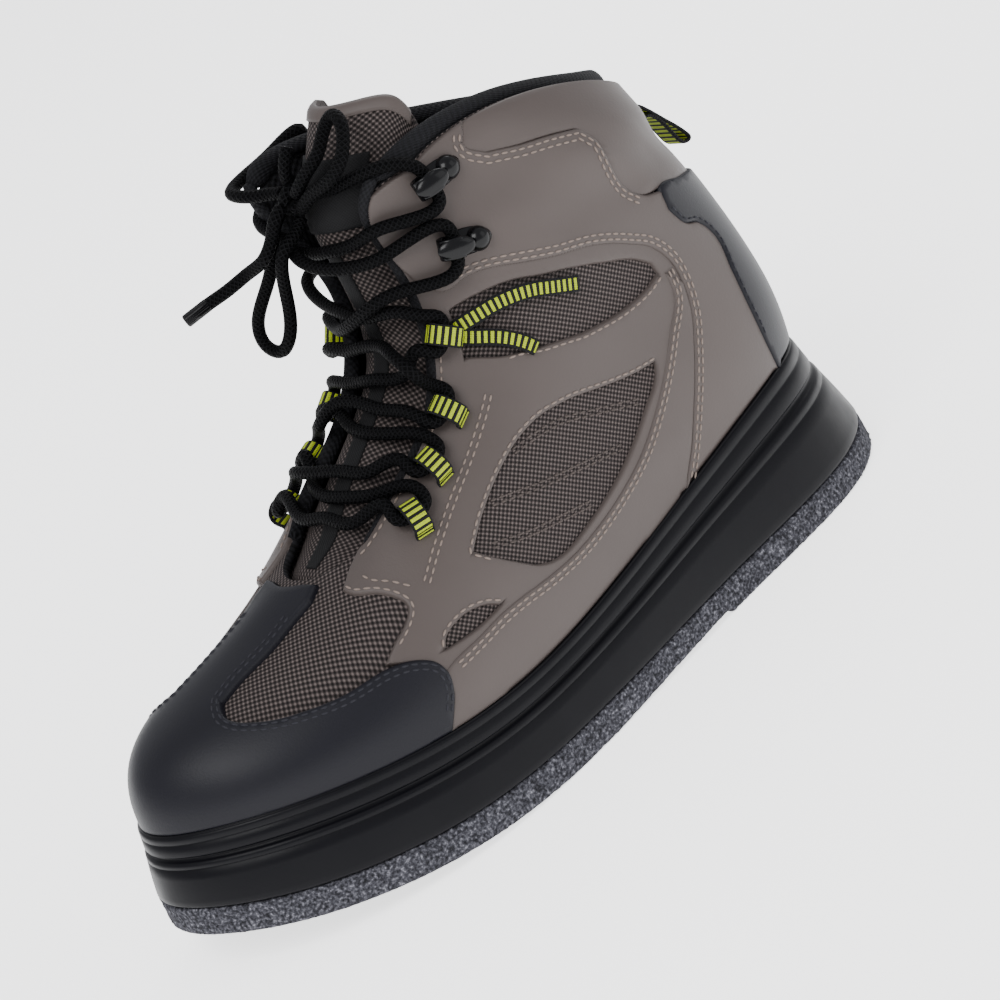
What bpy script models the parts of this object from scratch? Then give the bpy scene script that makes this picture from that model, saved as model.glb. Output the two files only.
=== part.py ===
"""Left wading boot: felt outsole, rubber cup midsole, laced ankle upper with overlays.

Metres, +X to the toe, +Y to the lateral side, +Z up. The origin lies on the floor under the
middle of the sole. Every loop of the boot is read from one table of stations, which runs from
the toe centre along a side to the heel centre, with a lateral and a medial half width.
"""
import math

import bmesh
import bpy
import numpy as np
from mathutils import Vector
from mathutils.geometry import delaunay_2d_cdt

for startup_object in list(bpy.data.objects):
    bpy.data.objects.remove(startup_object, do_unlink=True)

# Driving dimensions
LENGTH = 0.312          # felt outsole, heel to toe
BALL_WIDTH = 0.111      # felt outsole, across the ball
SIDE_HEIGHT = 0.0385    # rubber side wall at the heel
FELT = 0.0105           # felt outsole thickness
TOE_SPRING = 0.0155     # lift of the outsole under the toe tip
FLARE = 0.0115          # how far the felt stands out from the rim at the heel back
UPPER_RISE = 0.1515     # collar front above the rim
COLLAR_DROP = 0.006     # how much lower the collar lies on the medial side
FLAP_FORWARD = 0.012    # how far the medial flap of the throat stands open
ARCH_RISE = 0.0018      # hollow of the felt in front of the heel breast
RIM = 0.0032            # wall of the rubber rim around the upper
WALL = 0.0028           # upper with its lining
CLEAR = 0.0003          # clearance between cemented or seated pieces
RIB = 0.0012            # depth of the steps in the rubber side wall
INSOLE = 0.0045         # insole thickness
PANEL = 0.0013          # synthetic leather overlays
CAP = 0.0017            # rubbery toe cap and counter
BINDING_HEIGHT = 0.009  # padded knit roll along the collar
BINDING_SWELL = 0.0011  # how far the roll stands out from the wall
TONGUE = 0.0050         # padded tongue, at its middle
TONGUE_EDGE = 0.0024    # tongue at its tucked edges
WEBBING = 0.0011        # thickness of the webbing of loops and straps
LOOP_WIDTH = 0.0112     # lace loops, across the lace
LOOP_RISE = 0.0076      # lace loops, off the panel
LOOP_LENGTH = 0.0068    # lace loops, along the lace
STRAP_HALF = 0.0027     # half the width of the instep straps
HOOK_WIDTH = 0.0070     # speed hooks, along the lace
HOOK_METAL_THICK = 0.0010
PULL_WIDTH = 0.0085     # heel pull loop
EYELET_RADIUS = 0.0040  # drain eyelets
EYELET_HOLE = 0.0021
EYELET_HEIGHT = 0.0012
LACE = 0.0043           # round lace
LACE_TIP = 0.0036       # its tips
TOE_STEP = 1.0 / 3.0    # facet size around toe and heel, in stations
SIDE_STEP = 0.5         # facet size along the sides, in stations

# Stations from toe centre (first) to heel centre (last).
# x is a share of LENGTH, lateral and medial are shares of half the ball width,
# side and deck are shares of SIDE_HEIGHT, spring of TOE_SPRING and the flares of FLARE.
STATION_COLUMNS = ("x", "lateral", "medial", "side", "deck", "spring", "flare_lateral", "flare_medial")
STATIONS = (
    (0.981, -0.135, 0.135, 0.640, 0.36, 0.97, 0.46, 0.46),
    (0.948, 0.290, 0.510, 0.680, 0.36, 0.80, 0.45, 0.44),
    (0.870, 0.640, 0.780, 0.710, 0.36, 0.47, 0.41, 0.38),
    (0.755, 0.880, 0.920, 0.680, 0.36, 0.16, 0.36, 0.30),
    (0.625, 0.930, 0.950, 0.640, 0.35, 0.00, 0.35, 0.24),
    (0.481, 0.875, 0.870, 0.685, 0.37, 0.00, 0.39, 0.17),
    (0.359, 0.795, 0.820, 0.785, 0.42, 0.00, 0.48, 0.19),
    (0.272, 0.745, 0.780, 0.870, 0.46, 0.00, 0.61, 0.34),
    (0.192, 0.705, 0.745, 0.955, 0.50, 0.00, 0.70, 0.49),
    (0.112, 0.595, 0.635, 0.985, 0.51, 0.00, 0.82, 0.70),
    (0.054, 0.333, 0.395, 0.940, 0.51, 0.00, 0.95, 0.95),
    (0.036, -0.027, 0.027, 0.920, 0.51, 0.00, 1.00, 1.00),
)
# Levels of the upper above the rim, one row per station as above.
# x is a share of LENGTH, lateral and medial of half the ball width, rise of UPPER_RISE.
LEVEL_COLUMNS = ("x", "lateral", "medial", "rise")
LOW_LEVEL = (
    (0.962, -0.135, 0.135, 0.066),
    (0.931, 0.245, 0.475, 0.070),
    (0.860, 0.570, 0.715, 0.075),
    (0.749, 0.800, 0.850, 0.095),
    (0.625, 0.865, 0.870, 0.105),
    (0.481, 0.820, 0.820, 0.120),
    (0.362, 0.740, 0.765, 0.140),
    (0.279, 0.700, 0.730, 0.160),
    (0.199, 0.680, 0.695, 0.165),
    (0.120, 0.590, 0.610, 0.168),
    (0.065, 0.340, 0.390, 0.180),
    (0.049, -0.027, 0.027, 0.185),
)
MID_LEVEL = (
    (0.919, -0.120, 0.120, 0.144),
    (0.893, 0.155, 0.390, 0.149),
    (0.831, 0.445, 0.600, 0.158),
    (0.735, 0.670, 0.745, 0.195),
    (0.622, 0.785, 0.800, 0.229),
    (0.481, 0.760, 0.765, 0.264),
    (0.372, 0.700, 0.715, 0.325),
    (0.301, 0.680, 0.700, 0.370),
    (0.224, 0.655, 0.690, 0.400),
    (0.144, 0.565, 0.575, 0.412),
    (0.087, 0.320, 0.340, 0.438),
    (0.072, -0.027, 0.027, 0.448),
)
SHOULDER_LEVEL = (
    (0.806, -0.080, 0.080, 0.200),
    (0.788, 0.150, 0.255, 0.204),
    (0.757, 0.330, 0.405, 0.228),
    (0.702, 0.500, 0.545, 0.275),
    (0.620, 0.605, 0.640, 0.334),
    (0.492, 0.630, 0.655, 0.411),
    (0.398, 0.600, 0.625, 0.562),
    (0.368, 0.605, 0.620, 0.662),
    (0.295, 0.625, 0.640, 0.718),
    (0.200, 0.570, 0.600, 0.684),
    (0.126, 0.330, 0.365, 0.655),
    (0.095, -0.027, 0.027, 0.641),
)
TOP_LEVEL = (
    (0.712, -0.027, 0.027, 0.249),
    (0.703, 0.135, 0.185, 0.257),
    (0.682, 0.245, 0.295, 0.289),
    (0.648, 0.330, 0.380, 0.345),
    (0.603, 0.365, 0.420, 0.424),
    (0.515, 0.370, 0.425, 0.516),
    (0.471, 0.300, 0.390, 0.708),
    (0.470, 0.230, 0.570, 0.866),
    (0.414, 0.375, 0.620, 0.940),
    (0.295, 0.430, 0.440, 0.916),
    (0.168, 0.280, 0.290, 0.822),
    (0.103, -0.027, 0.027, 0.760),
)
# The medial side of the top line lies lower and its loose flap stands further forward:
# one share of COLLAR_DROP and of FLAP_FORWARD per station.
COLLAR_DROP_SHARES = (0.0, 0.0, 0.0, 0.0, 0.0, 0.0, 0.0, -0.3, -0.9, 0.6, 0.7, 0.0)
FLAP_FORWARD_SHARES = (0.0, 0.0, 0.0, 0.0, 0.0, 0.0, 0.0, 0.35, 1.0, 0.25, 0.0, 0.0)


def table_column(table, columns, name):
    """One named column of a table, as an array."""
    return np.array([row[columns.index(name)] for row in table])


def natural_second_derivatives(knots, values):
    """Second derivatives of the natural cubic through values (rows) at the knots."""
    count = len(knots)
    matrix = np.zeros((count, count))
    right = np.zeros_like(values)
    matrix[0, 0] = 1.0
    matrix[-1, -1] = 1.0
    for i in range(1, count - 1):
        before = knots[i] - knots[i - 1]
        after = knots[i + 1] - knots[i]
        matrix[i, i - 1] = before
        matrix[i, i] = 2.0 * (before + after)
        matrix[i, i + 1] = after
        rise_after = (values[i + 1] - values[i]) / after
        rise_before = (values[i] - values[i - 1]) / before
        right[i] = 6.0 * (rise_after - rise_before)
    return np.linalg.solve(matrix, right)


def cubic_at(knots, values, seconds, where):
    """Cubic with the given second derivatives, carried on straight beyond its ends."""
    i = int(np.clip(np.searchsorted(knots, where) - 1, 0, len(knots) - 2))
    width = knots[i + 1] - knots[i]
    t = (where - knots[i]) / width
    clipped = min(max(t, 0.0), 1.0)
    a, b = 1.0 - clipped, clipped
    curve = a * values[i] + b * values[i + 1]
    curve = curve + width * width / 6.0 * ((a ** 3 - a) * seconds[i] + (b ** 3 - b) * seconds[i + 1])
    if t != clipped:
        slope = (values[i + 1] - values[i]) / width
        end = 1.0 if t > 1.0 else -1.0
        slope = slope + end * width / 6.0 * (seconds[i + 1] * (end > 0) * 2.0 + seconds[i] * (end > 0)
                                             + seconds[i] * (end < 0) * 2.0 + seconds[i + 1] * (end < 0))
        curve = curve + slope * (where - (knots[i + 1] if t > 1.0 else knots[i]))
    return curve


class RoundCubic:
    """Closed cubic curve through points, one unit of parameter per point."""

    def __init__(self, points):
        self.points = np.array(points, float)
        count = len(self.points)
        matrix = np.zeros((count, count))
        right = np.zeros_like(self.points)
        for i in range(count):
            matrix[i, (i - 1) % count] += 1.0
            matrix[i, i] += 4.0
            matrix[i, (i + 1) % count] += 1.0
            right[i] = 6.0 * (self.points[(i + 1) % count] - 2.0 * self.points[i] + self.points[i - 1])
        self.seconds = np.linalg.solve(matrix, right)

    def at(self, s):
        count = len(self.points)
        whole = math.floor(s)
        t = s - whole
        i, j = int(whole) % count, (int(whole) + 1) % count
        a, b = 1.0 - t, t
        straight = a * self.points[i] + b * self.points[j]
        return straight + ((a ** 3 - a) * self.seconds[i] + (b ** 3 - b) * self.seconds[j]) / 6.0


HALF = BALL_WIDTH / 2.0
LAST_STATION = len(STATIONS) - 1
LOOP = 2 * LAST_STATION


def along(share):
    """Place along the boot, from a share of its length."""
    return (share - 0.5) * LENGTH


def loop_of_table(table, columns, heights):
    """Closed loop of points: lateral side from the toe, then medial side back to the toe."""
    xs = along(table_column(table, columns, "x"))
    lateral = table_column(table, columns, "lateral") * HALF
    medial = -table_column(table, columns, "medial") * HALF
    points = [(xs[i], lateral[i], heights[i]) for i in range(len(table))]
    points += [(xs[i], medial[i], heights[i]) for i in range(LAST_STATION - 1, 0, -1)]
    return points


STATION_X = along(table_column(STATIONS, STATION_COLUMNS, "x"))
HEEL_TO_TOE = STATION_X[::-1]


class AlongCurve:
    """A height that changes along the boot only, read from a column of STATIONS."""

    def __init__(self, values):
        self.values = np.array(values, float)[::-1]
        self.seconds = natural_second_derivatives(HEEL_TO_TOE, self.values)

    def at(self, x):
        return float(cubic_at(HEEL_TO_TOE, self.values, self.seconds, x))


spring_share = table_column(STATIONS, STATION_COLUMNS, "spring")
side_share = table_column(STATIONS, STATION_COLUMNS, "side")
deck_share = table_column(STATIONS, STATION_COLUMNS, "deck")
spring_curve = AlongCurve(TOE_SPRING * spring_share)
rim_curve = AlongCurve(TOE_SPRING * spring_share + FELT + SIDE_HEIGHT * side_share)
deck_curve = AlongCurve(TOE_SPRING * spring_share + FELT + SIDE_HEIGHT * deck_share)
RIM_HEIGHTS = TOE_SPRING * spring_share + FELT + SIDE_HEIGHT * side_share
rand_loop = RoundCubic(loop_of_table(STATIONS, STATION_COLUMNS, RIM_HEIGHTS))
flare_lateral = FLARE * table_column(STATIONS, STATION_COLUMNS, "flare_lateral")
flare_medial = FLARE * table_column(STATIONS, STATION_COLUMNS, "flare_medial")
flare_loop = RoundCubic([(v,) for v in flare_lateral] + [(v,) for v in flare_medial[-2:0:-1]])


def outline_point(s, outward):
    """Point of the rim's outline at s, moved outward in plan, without a height."""
    step = 0.02
    ahead = rand_loop.at(s + step)
    behind = rand_loop.at(s - step)
    tangent = ahead - behind
    size = math.hypot(tangent[0], tangent[1])
    here = rand_loop.at(s)
    return here[0] + tangent[1] / size * outward, here[1] - tangent[0] / size * outward


def level_points(table):
    """Points of one level of the upper, closed around."""
    rises = table_column(table, LEVEL_COLUMNS, "rise") * UPPER_RISE
    return loop_of_table(table, LEVEL_COLUMNS, RIM_HEIGHTS + rises)


def top_line_points():
    """Points of the top line, with the medial side lowered and its flap set forward."""
    points = level_points(TOP_LEVEL)
    for i in range(1, LAST_STATION):
        x, y, z = points[LOOP - i]
        forward = FLAP_FORWARD * FLAP_FORWARD_SHARES[i]
        points[LOOP - i] = (x + forward, y, z - COLLAR_DROP * COLLAR_DROP_SHARES[i])
    return points


UPPER_INSET = RIM + CLEAR
level_loops = [RoundCubic(level_points(t)) for t in (LOW_LEVEL, MID_LEVEL, SHOULDER_LEVEL)]
level_loops.append(RoundCubic(top_line_points()))
LEVEL_KNOTS = np.array([1.0, 2.0, 3.0, 4.0, 5.0])


def section(s):
    """The five heights of the upper at s, with the second derivatives between them."""
    x, y = outline_point(s, -UPPER_INSET)
    points = np.array([(x, y, rim_curve.at(x))] + [loop.at(s) for loop in level_loops])
    return points, natural_second_derivatives(LEVEL_KNOTS, points)


section_store = {}


def upper_point(s, v):
    """Outer surface of the upper: v 0 is the footbed, 1 the rim, 5 the top line."""
    key = round(s % LOOP, 5)
    if key not in section_store:
        section_store[key] = section(key)
    points, seconds = section_store[key]
    if v < 1.0:
        foot = np.array((points[0][0], points[0][1], deck_curve.at(points[0][0]) + CLEAR))
        return foot * (1.0 - v) + points[0] * v
    return cubic_at(LEVEL_KNOTS, points, seconds, v)


def upper_normal(s, v):
    """Outward normal of the upper."""
    step = 0.04
    low = min(max(v, 1.0 + step), 5.0 - step)
    across = upper_point(s + step, low) - upper_point(s - step, low)
    up = upper_point(s, low + step) - upper_point(s, low - step)
    normal = np.cross(across, up)
    if v < 1.0:
        normal[2] = 0.0
    return normal / np.linalg.norm(normal)


def on_upper(s, v, out=0.0):
    """Point of the upper's surface, moved out along the normal."""
    return upper_point(s, v) + upper_normal(s, v) * out


# Shapes of the pieces


def new_material(name, colour, roughness, metallic=0.0):
    """Principled material of one colour."""
    material = bpy.data.materials.new(name)
    material.use_nodes = True
    shader = material.node_tree.nodes["Principled BSDF"]
    shader.inputs["Base Color"].default_value = (*colour, 1.0)
    shader.inputs["Roughness"].default_value = roughness
    shader.inputs["Metallic"].default_value = metallic
    return material


FELT_GREY = new_material("felt_grey", (0.055, 0.055, 0.057), 0.95)
RUBBER_BLACK = new_material("rubber_black", (0.022, 0.023, 0.026), 0.60)
MESH_BROWN = new_material("mesh_brown", (0.060, 0.043, 0.036), 0.85)
LEATHER_TAUPE = new_material("leather_taupe", (0.190, 0.160, 0.142), 0.55)
SYNTHETIC_BLACK = new_material("synthetic_black", (0.020, 0.022, 0.027), 0.45)
KNIT_BLACK = new_material("knit_black", (0.018, 0.017, 0.017), 0.90)
HOOK_METAL = new_material("hook_metal", (0.050, 0.050, 0.052), 0.25, 1.0)
WEBBING_GREEN = new_material("webbing_green", (0.340, 0.350, 0.120), 0.80)
LACE_BLACK = new_material("lace_black", (0.015, 0.015, 0.016), 0.80)
SHARP_ANGLE = math.radians(38.0)


def mesh_object(name, points, faces, material):
    """Object of one closed body, its faces turned outward."""
    shape = bmesh.new()
    corners = [shape.verts.new(Vector(point)) for point in points]
    for face in faces:
        shape.faces.new([corners[i] for i in face])
    bmesh.ops.recalc_face_normals(shape, faces=shape.faces)
    mesh = bpy.data.meshes.new(name)
    shape.to_mesh(mesh)
    shape.free()
    mesh.shade_smooth()
    mesh.set_sharp_from_angle(angle=SHARP_ANGLE)
    mesh.materials.append(material)
    piece = bpy.data.objects.new(name, mesh)
    bpy.context.scene.collection.objects.link(piece)
    return piece


def ring_faces(rings, around, closed=False):
    """Two triangles per step between rings; a closed stack joins its last ring to its first."""
    faces = []
    for r in range(rings if closed else rings - 1):
        here = r * around
        there = (r + 1) % rings * around
        for i in range(around):
            j = (i + 1) % around
            faces.append((here + i, here + j, there + j))
            faces.append((here + i, there + j, there + i))
    return faces


def ladder_faces(start, around):
    """Cap over a loop that begins at the toe centre, with rungs from side to side."""
    half = around // 2
    faces = [(start, start + 1, start + around - 1)]
    for i in range(1, half - 1):
        faces.append((start + i, start + i + 1, start + around - i - 1, start + around - i))
    faces.append((start + half - 1, start + half, start + half + 1))
    return faces


HALF_PLACES = [i * TOE_STEP for i in range(6)]
HALF_PLACES += [2.0 + i * SIDE_STEP for i in range(14)]
HALF_PLACES += [LAST_STATION - i * TOE_STEP for i in range(6, -1, -1)]
LOOP_PLACES = HALF_PLACES + [LOOP - s for s in HALF_PLACES[-2:0:-1]]
AROUND = len(LOOP_PLACES)


def spring_at(x):
    """Lift of the outsole's underside at x, none under heel and ball."""
    return max(spring_curve.at(x), 0.0)


# Rubber cup midsole. The side wall is read from the rim's crest down: drop is a share of the
# side height there, flare of the local flare, and step of RIB, outward.
SIDE_COLUMNS = ("drop", "flare", "step")
SIDE_PROFILE = (
    (0.000, 0.00, 0.00),
    (0.030, 0.04, 0.60),
    (0.285, 0.24, 0.60),
    (0.310, 0.26, -0.50),
    (0.345, 0.29, -0.50),
    (0.370, 0.33, 0.80),
    (0.985, 0.92, 0.80),
    (1.000, 0.91, 0.30),
)
CREST = 0.0007          # rounding of the rim's crest


def midsole_rings():
    """Rings of the cup, from the deck's edge over the rim and down the side."""
    rings = []
    for inset, above_deck, below_rim in ((RIM, 0.0, None), (RIM, None, CREST), (RIM - CREST, None, 0.0)):
        ring = []
        for s in LOOP_PLACES:
            x, y = outline_point(s, -inset)
            z = deck_curve.at(x) if below_rim is None else rim_curve.at(x) - below_rim
            ring.append((x, y, z))
        rings.append(ring)
    for drop, flare, step in SIDE_PROFILE:
        ring = []
        for s in LOOP_PLACES:
            outward = flare_loop.at(s)[0] * flare + RIB * (step - 0.6)
            x, y = outline_point(s, outward)
            top, bottom = rim_curve.at(x), spring_at(x) + FELT
            ring.append((x, y, top - (CREST * 0.3 if drop == 0.0 else 0.0) - (top - bottom) * drop))
        rings.append(ring)
    return rings


def build_midsole():
    rings = midsole_rings()
    points = [point for ring in rings for point in ring]
    faces = ring_faces(len(rings), AROUND)
    faces += ladder_faces(0, AROUND)
    faces += ladder_faces((len(rings) - 1) * AROUND, AROUND)
    return mesh_object("rubber_midsole", points, faces, RUBBER_BLACK)


# Felt outsole, with a hollow under the arch that ends at a step at the heel breast.
BREAST_STATION = 6.0
BREAST_STEP = 0.04
HOLLOW_END = 4.4
FELT_BEVEL = 0.0009


def arch_hollow(s):
    """Rise of the felt's underside at s."""
    fold = min(s, LOOP - s)
    if fold > BREAST_STATION + BREAST_STEP / 2.0 or fold < HOLLOW_END:
        return 0.0
    share = (fold - HOLLOW_END) / (BREAST_STATION - HOLLOW_END)
    return ARCH_RISE * math.sin(min(share, 1.0) * math.pi / 2.0)


def build_felt_outsole():
    places = sorted(LOOP_PLACES + [BREAST_STATION + BREAST_STEP, LOOP - BREAST_STATION - BREAST_STEP])
    rings = []
    for flare, in_by, height in ((0.93, 0.0008, None), (0.97, 0.0, 0.62), (1.0, 0.0, 0.15), (1.0, FELT_BEVEL, 0.0)):
        ring = []
        for s in places:
            x, y = outline_point(s, flare_loop.at(s)[0] * flare - in_by)
            top = spring_at(x) + FELT - CLEAR
            bottom = spring_at(x) + arch_hollow(s)
            ring.append((x, y, top if height is None else bottom + (top - bottom) * height))
        rings.append(ring)
    around = len(places)
    points = [point for ring in rings for point in ring]
    faces = ring_faces(len(rings), around) + ladder_faces(0, around)
    faces += ladder_faces((len(rings) - 1) * around, around)
    return mesh_object("felt_outsole", points, faces, FELT_GREY)


def build_insole():
    """Footbed inside the upper, on the deck."""
    inset = UPPER_INSET + WALL + CLEAR
    rings = []
    for in_by, share in ((0.0, 0.0), (0.0005, 1.0)):
        ring = []
        for s in LOOP_PLACES:
            x, y = outline_point(s, -inset - in_by)
            ring.append((x, y, deck_curve.at(x) + CLEAR + INSOLE * share))
        rings.append(ring)
    points = [point for ring in rings for point in ring]
    faces = ring_faces(len(rings), AROUND) + ladder_faces(0, AROUND)
    faces += ladder_faces((len(rings) - 1) * AROUND, AROUND)
    return mesh_object("insole", points, faces, KNIT_BLACK)


# The upper ends under the padded roll of the collar, which starts behind the throat.
BINDING_START = 7.5
BINDING_TAPER = 0.5
BINDING_SEAT = 2.0 * CLEAR


def binding_height(s):
    """Height of the collar roll at s, none along the throat."""
    fold = min(s % LOOP, LOOP - s % LOOP)
    share = (fold - BINDING_START + 0.25) / BINDING_TAPER
    return BINDING_HEIGHT * min(max(share, 0.0), 1.0)


def top_level(s):
    """Level at which the upper ends at s: 5 along the throat, less under the roll."""
    height = binding_height(s)
    if height == 0.0:
        return 5.0
    rise = 2.0 * np.linalg.norm(upper_point(s, 5.0) - upper_point(s, 4.5))
    return 5.0 - (height + BINDING_SEAT) / rise


UPPER_ROWS = np.array((0.0, 1.0, 1.5, 2.0, 2.5, 3.0, 3.5, 4.0, 4.5, 5.0))


def row_level(s, row):
    """Level v of a row: rows above the rim are spread up to the upper's own top."""
    if row <= 1.0:
        return row
    return 1.0 + (row - 1.0) * (top_level(s) - 1.0) / 4.0


def level_row(s, level):
    """Row of a level, the other way round."""
    if level <= 1.0:
        return level
    return 1.0 + (level - 1.0) * 4.0 / (top_level(s) - 1.0)


outer_grid = np.array([[upper_point(s, row_level(s, row)) for s in LOOP_PLACES] for row in UPPER_ROWS])
normal_grid = np.array([[upper_normal(s, row_level(s, row)) for s in LOOP_PLACES] for row in UPPER_ROWS])


def build_upper():
    """Lasted shell of even wall: outer rows up, inner rows back down."""
    inner_grid = outer_grid - normal_grid * WALL
    inner_grid[0][:, 2] = outer_grid[0][:, 2]
    rings = list(outer_grid) + list(inner_grid[::-1])
    points = [point for ring in rings for point in ring]
    return mesh_object("upper", points, ring_faces(len(rings), AROUND, closed=True), MESH_BROWN)


def on_shell(s, row, out):
    """Point on the upper's facets, moved out along the normal."""
    s = s % LOOP
    a = int(np.searchsorted(LOOP_PLACES, s + 1e-9)) - 1
    b = (a + 1) % AROUND
    t = (s - LOOP_PLACES[a]) / ((LOOP_PLACES[b] if b else LOOP) - LOOP_PLACES[a])
    r = int(np.clip(np.searchsorted(UPPER_ROWS, row, side="right") - 1, 0, len(UPPER_ROWS) - 2))
    u = (row - UPPER_ROWS[r]) / (UPPER_ROWS[r + 1] - UPPER_ROWS[r])
    def blend(grid):
        near, far = grid[r][a], grid[r + 1][b]
        if u <= t:
            return near * (1.0 - t) + grid[r][b] * (t - u) + far * u
        return near * (1.0 - u) + grid[r + 1][a] * (u - t) + far * t

    normal = blend(normal_grid)
    return blend(outer_grid) + normal / np.linalg.norm(normal) * out


TOP_ROW = 4.93          # overlays end a little below the upper's own edge


def inside(point, polygon):
    """Whether a point lies inside a polygon."""
    x, y = point
    crossings = 0
    for (x0, y0), (x1, y1) in zip(polygon, polygon[1:] + polygon[:1]):
        if (y0 > y) != (y1 > y) and x < x0 + (y - y0) / (y1 - y0) * (x1 - x0):
            crossings += 1
    return crossings % 2 == 1


def overlay(name, outline, holes, seat, thickness, material):
    """Flat piece on the upper: outline and holes are (s, level) pairs, seated above the facets."""
    loops = [[(s, min(level_row(s, v), TOP_ROW)) for s, v in loop] for loop in [outline] + list(holes)]
    flat, edges = [], []
    for loop in loops:
        first = len(flat)
        flat += loop
        edges += [(first + i, first + (i + 1) % len(loop)) for i in range(len(loop))]
    lowest, highest = min(s for s, _ in loops[0]), max(s for s, _ in loops[0])
    columns = [p - LOOP for p in LOOP_PLACES] + LOOP_PLACES
    columns = columns[max(i for i, p in enumerate(columns) if p <= lowest):]
    columns = columns[:1 + min(i for i, p in enumerate(columns) if p >= highest)]
    for column in columns:
        edges.append((len(flat), len(flat) + 1))
        flat += [(column, 1.0), (column, 5.0)]
    for row in UPPER_ROWS[1:]:
        edges.append((len(flat), len(flat) + 1))
        flat += [(columns[0], row), (columns[-1], row)]
    for left, right in zip(columns, columns[1:]):
        for low, high in zip(UPPER_ROWS[1:-1], UPPER_ROWS[2:]):
            edges.append((len(flat), len(flat) + 1))
            flat += [(left, low), (right, high)]
    coords, _, triangles, *_ = delaunay_2d_cdt([Vector(p) for p in flat], edges, [], 0, 1e-4)
    kept = []
    for triangle in triangles:
        centre = sum((coords[i] for i in triangle), Vector((0.0, 0.0))) / 3.0
        if inside(centre, loops[0]) and not any(inside(centre, hole) for hole in loops[1:]):
            kept.append(tuple(triangle))
    used = sorted({i for triangle in kept for i in triangle})
    number = {old: new for new, old in enumerate(used)}
    count = len(used)
    points = [on_shell(coords[i][0], coords[i][1], seat) for i in used]
    points += [on_shell(coords[i][0], coords[i][1], seat + thickness) for i in used]
    faces = []
    sides = set()
    for triangle in kept:
        a, b, c = (number[i] for i in triangle)
        faces.append((c, b, a))
        faces.append((a + count, b + count, c + count))
        for edge in ((a, b), (b, c), (c, a)):
            if edge[::-1] in sides:
                sides.remove(edge[::-1])
            else:
                sides.add(edge)
    for a, b in sorted(sides):
        faces.append((a, b, b + count, a + count))
    return mesh_object(name, points, faces, material)


def mirrored(pairs):
    """The same edge on the medial side, run the other way."""
    return [(LOOP - s, v) for s, v in reversed(pairs)]


# Edges of the overlays as (station, level) pairs: station 0 is the toe centre, 11 the heel
# centre, level 1 the rim and level 5 the top line.
BOTTOM = 1.03
THROAT = 4.96
TOE_CAP_EDGE = [
    (0.00, 4.86), (0.80, 4.86), (1.40, 4.78), (1.47, 4.52), (1.25, 4.29), (1.12, 3.94), (0.95, 3.62),
    (0.92, 3.36), (1.25, 3.08), (1.66, 2.92), (2.15, 2.79), (2.55, 2.70), (2.95, 2.70), (3.16, 2.62),
    (3.36, 2.40), (3.43, 2.10), (3.40, 1.75), (3.31, 1.35), (3.22, BOTTOM),
]
VAMP_REAR_EDGE = [
    (2.98, 2.76), (3.14, 2.98), (3.32, 3.16), (3.43, 3.36), (3.38, 3.62), (3.15, 3.95), (2.76, 4.20),
    (2.44, 4.42),
]
CUFF_EDGE = [
    (8.42, 4.80), (8.22, 4.70), (8.03, 4.58), (8.02, 4.45), (8.20, 4.33), (8.46, 4.25), (8.74, 4.18),
    (8.72, 4.02), (8.60, 3.87), (8.50, 3.72), (8.46, 3.58), (8.54, 3.46),
]
COUNTER_EDGE = [
    (8.78, 3.37), (8.66, 3.22), (8.72, 3.06), (8.95, 2.94), (9.05, 2.73), (8.88, 2.42), (8.76, 2.08),
    (8.72, 1.62), (8.82, BOTTOM),
]
COUNTER_TOP_EDGE = [(8.86, 3.41), (9.40, 3.30), (10.2, 3.12), (11.0, 3.03)]
UPPER_WINDOW = [
    (5.80, 4.70), (6.12, 4.25), (6.57, 3.87), (7.08, 3.58), (7.50, 3.34), (7.86, 3.12), (7.92, 2.99),
    (7.62, 2.98), (7.23, 3.05), (6.77, 3.19), (6.31, 3.38), (5.86, 3.69), (5.54, 4.12), (5.42, 4.60),
]
LOWER_WINDOW = [
    (4.20, 3.30), (4.46, 3.56), (4.74, 3.70), (5.00, 3.70), (5.24, 3.58), (5.55, 3.33), (6.02, 2.99),
    (6.60, 2.68), (7.02, 2.52), (6.90, 2.41), (6.50, 2.31), (6.05, 2.21), (5.60, 2.15), (5.15, 2.13),
    (4.80, 2.16), (4.62, 2.30), (4.42, 2.69), (4.28, 3.04),
]
SMALL_WINDOW = [(3.52, 2.42), (3.60, 2.60), (3.80, 2.68), (3.98, 2.60), (4.12, 2.40), (3.86, 2.38)]
LATERAL_WINDOWS = (UPPER_WINDOW, LOWER_WINDOW, SMALL_WINDOW)
JOIN_GAP = 0.012        # half the gap between neighbouring overlays, in stations


def shifted(pairs, ds, dv=0.0):
    """An edge moved by a little, so that two overlays that share it stay apart."""
    return [(s + ds, v + dv if v > BOTTOM else v) for s, v in pairs]


def side_outline():
    """Outline of the lateral panel: cap edge, vamp window, throat, cuff, counter and rim."""
    front = shifted(TOE_CAP_EDGE[-1:12:-1], JOIN_GAP)
    throat = [(2.46, 4.78), (2.60, THROAT)] + [(float(s), THROAT) for s in range(3, 8)] + [(7.95, 4.90)]
    counter = shifted(COUNTER_EDGE, -JOIN_GAP * 2.0)
    rim = [(7.0, BOTTOM), (5.0, BOTTOM)]
    return front + VAMP_REAR_EDGE + throat + CUFF_EDGE + counter + rim


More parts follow.
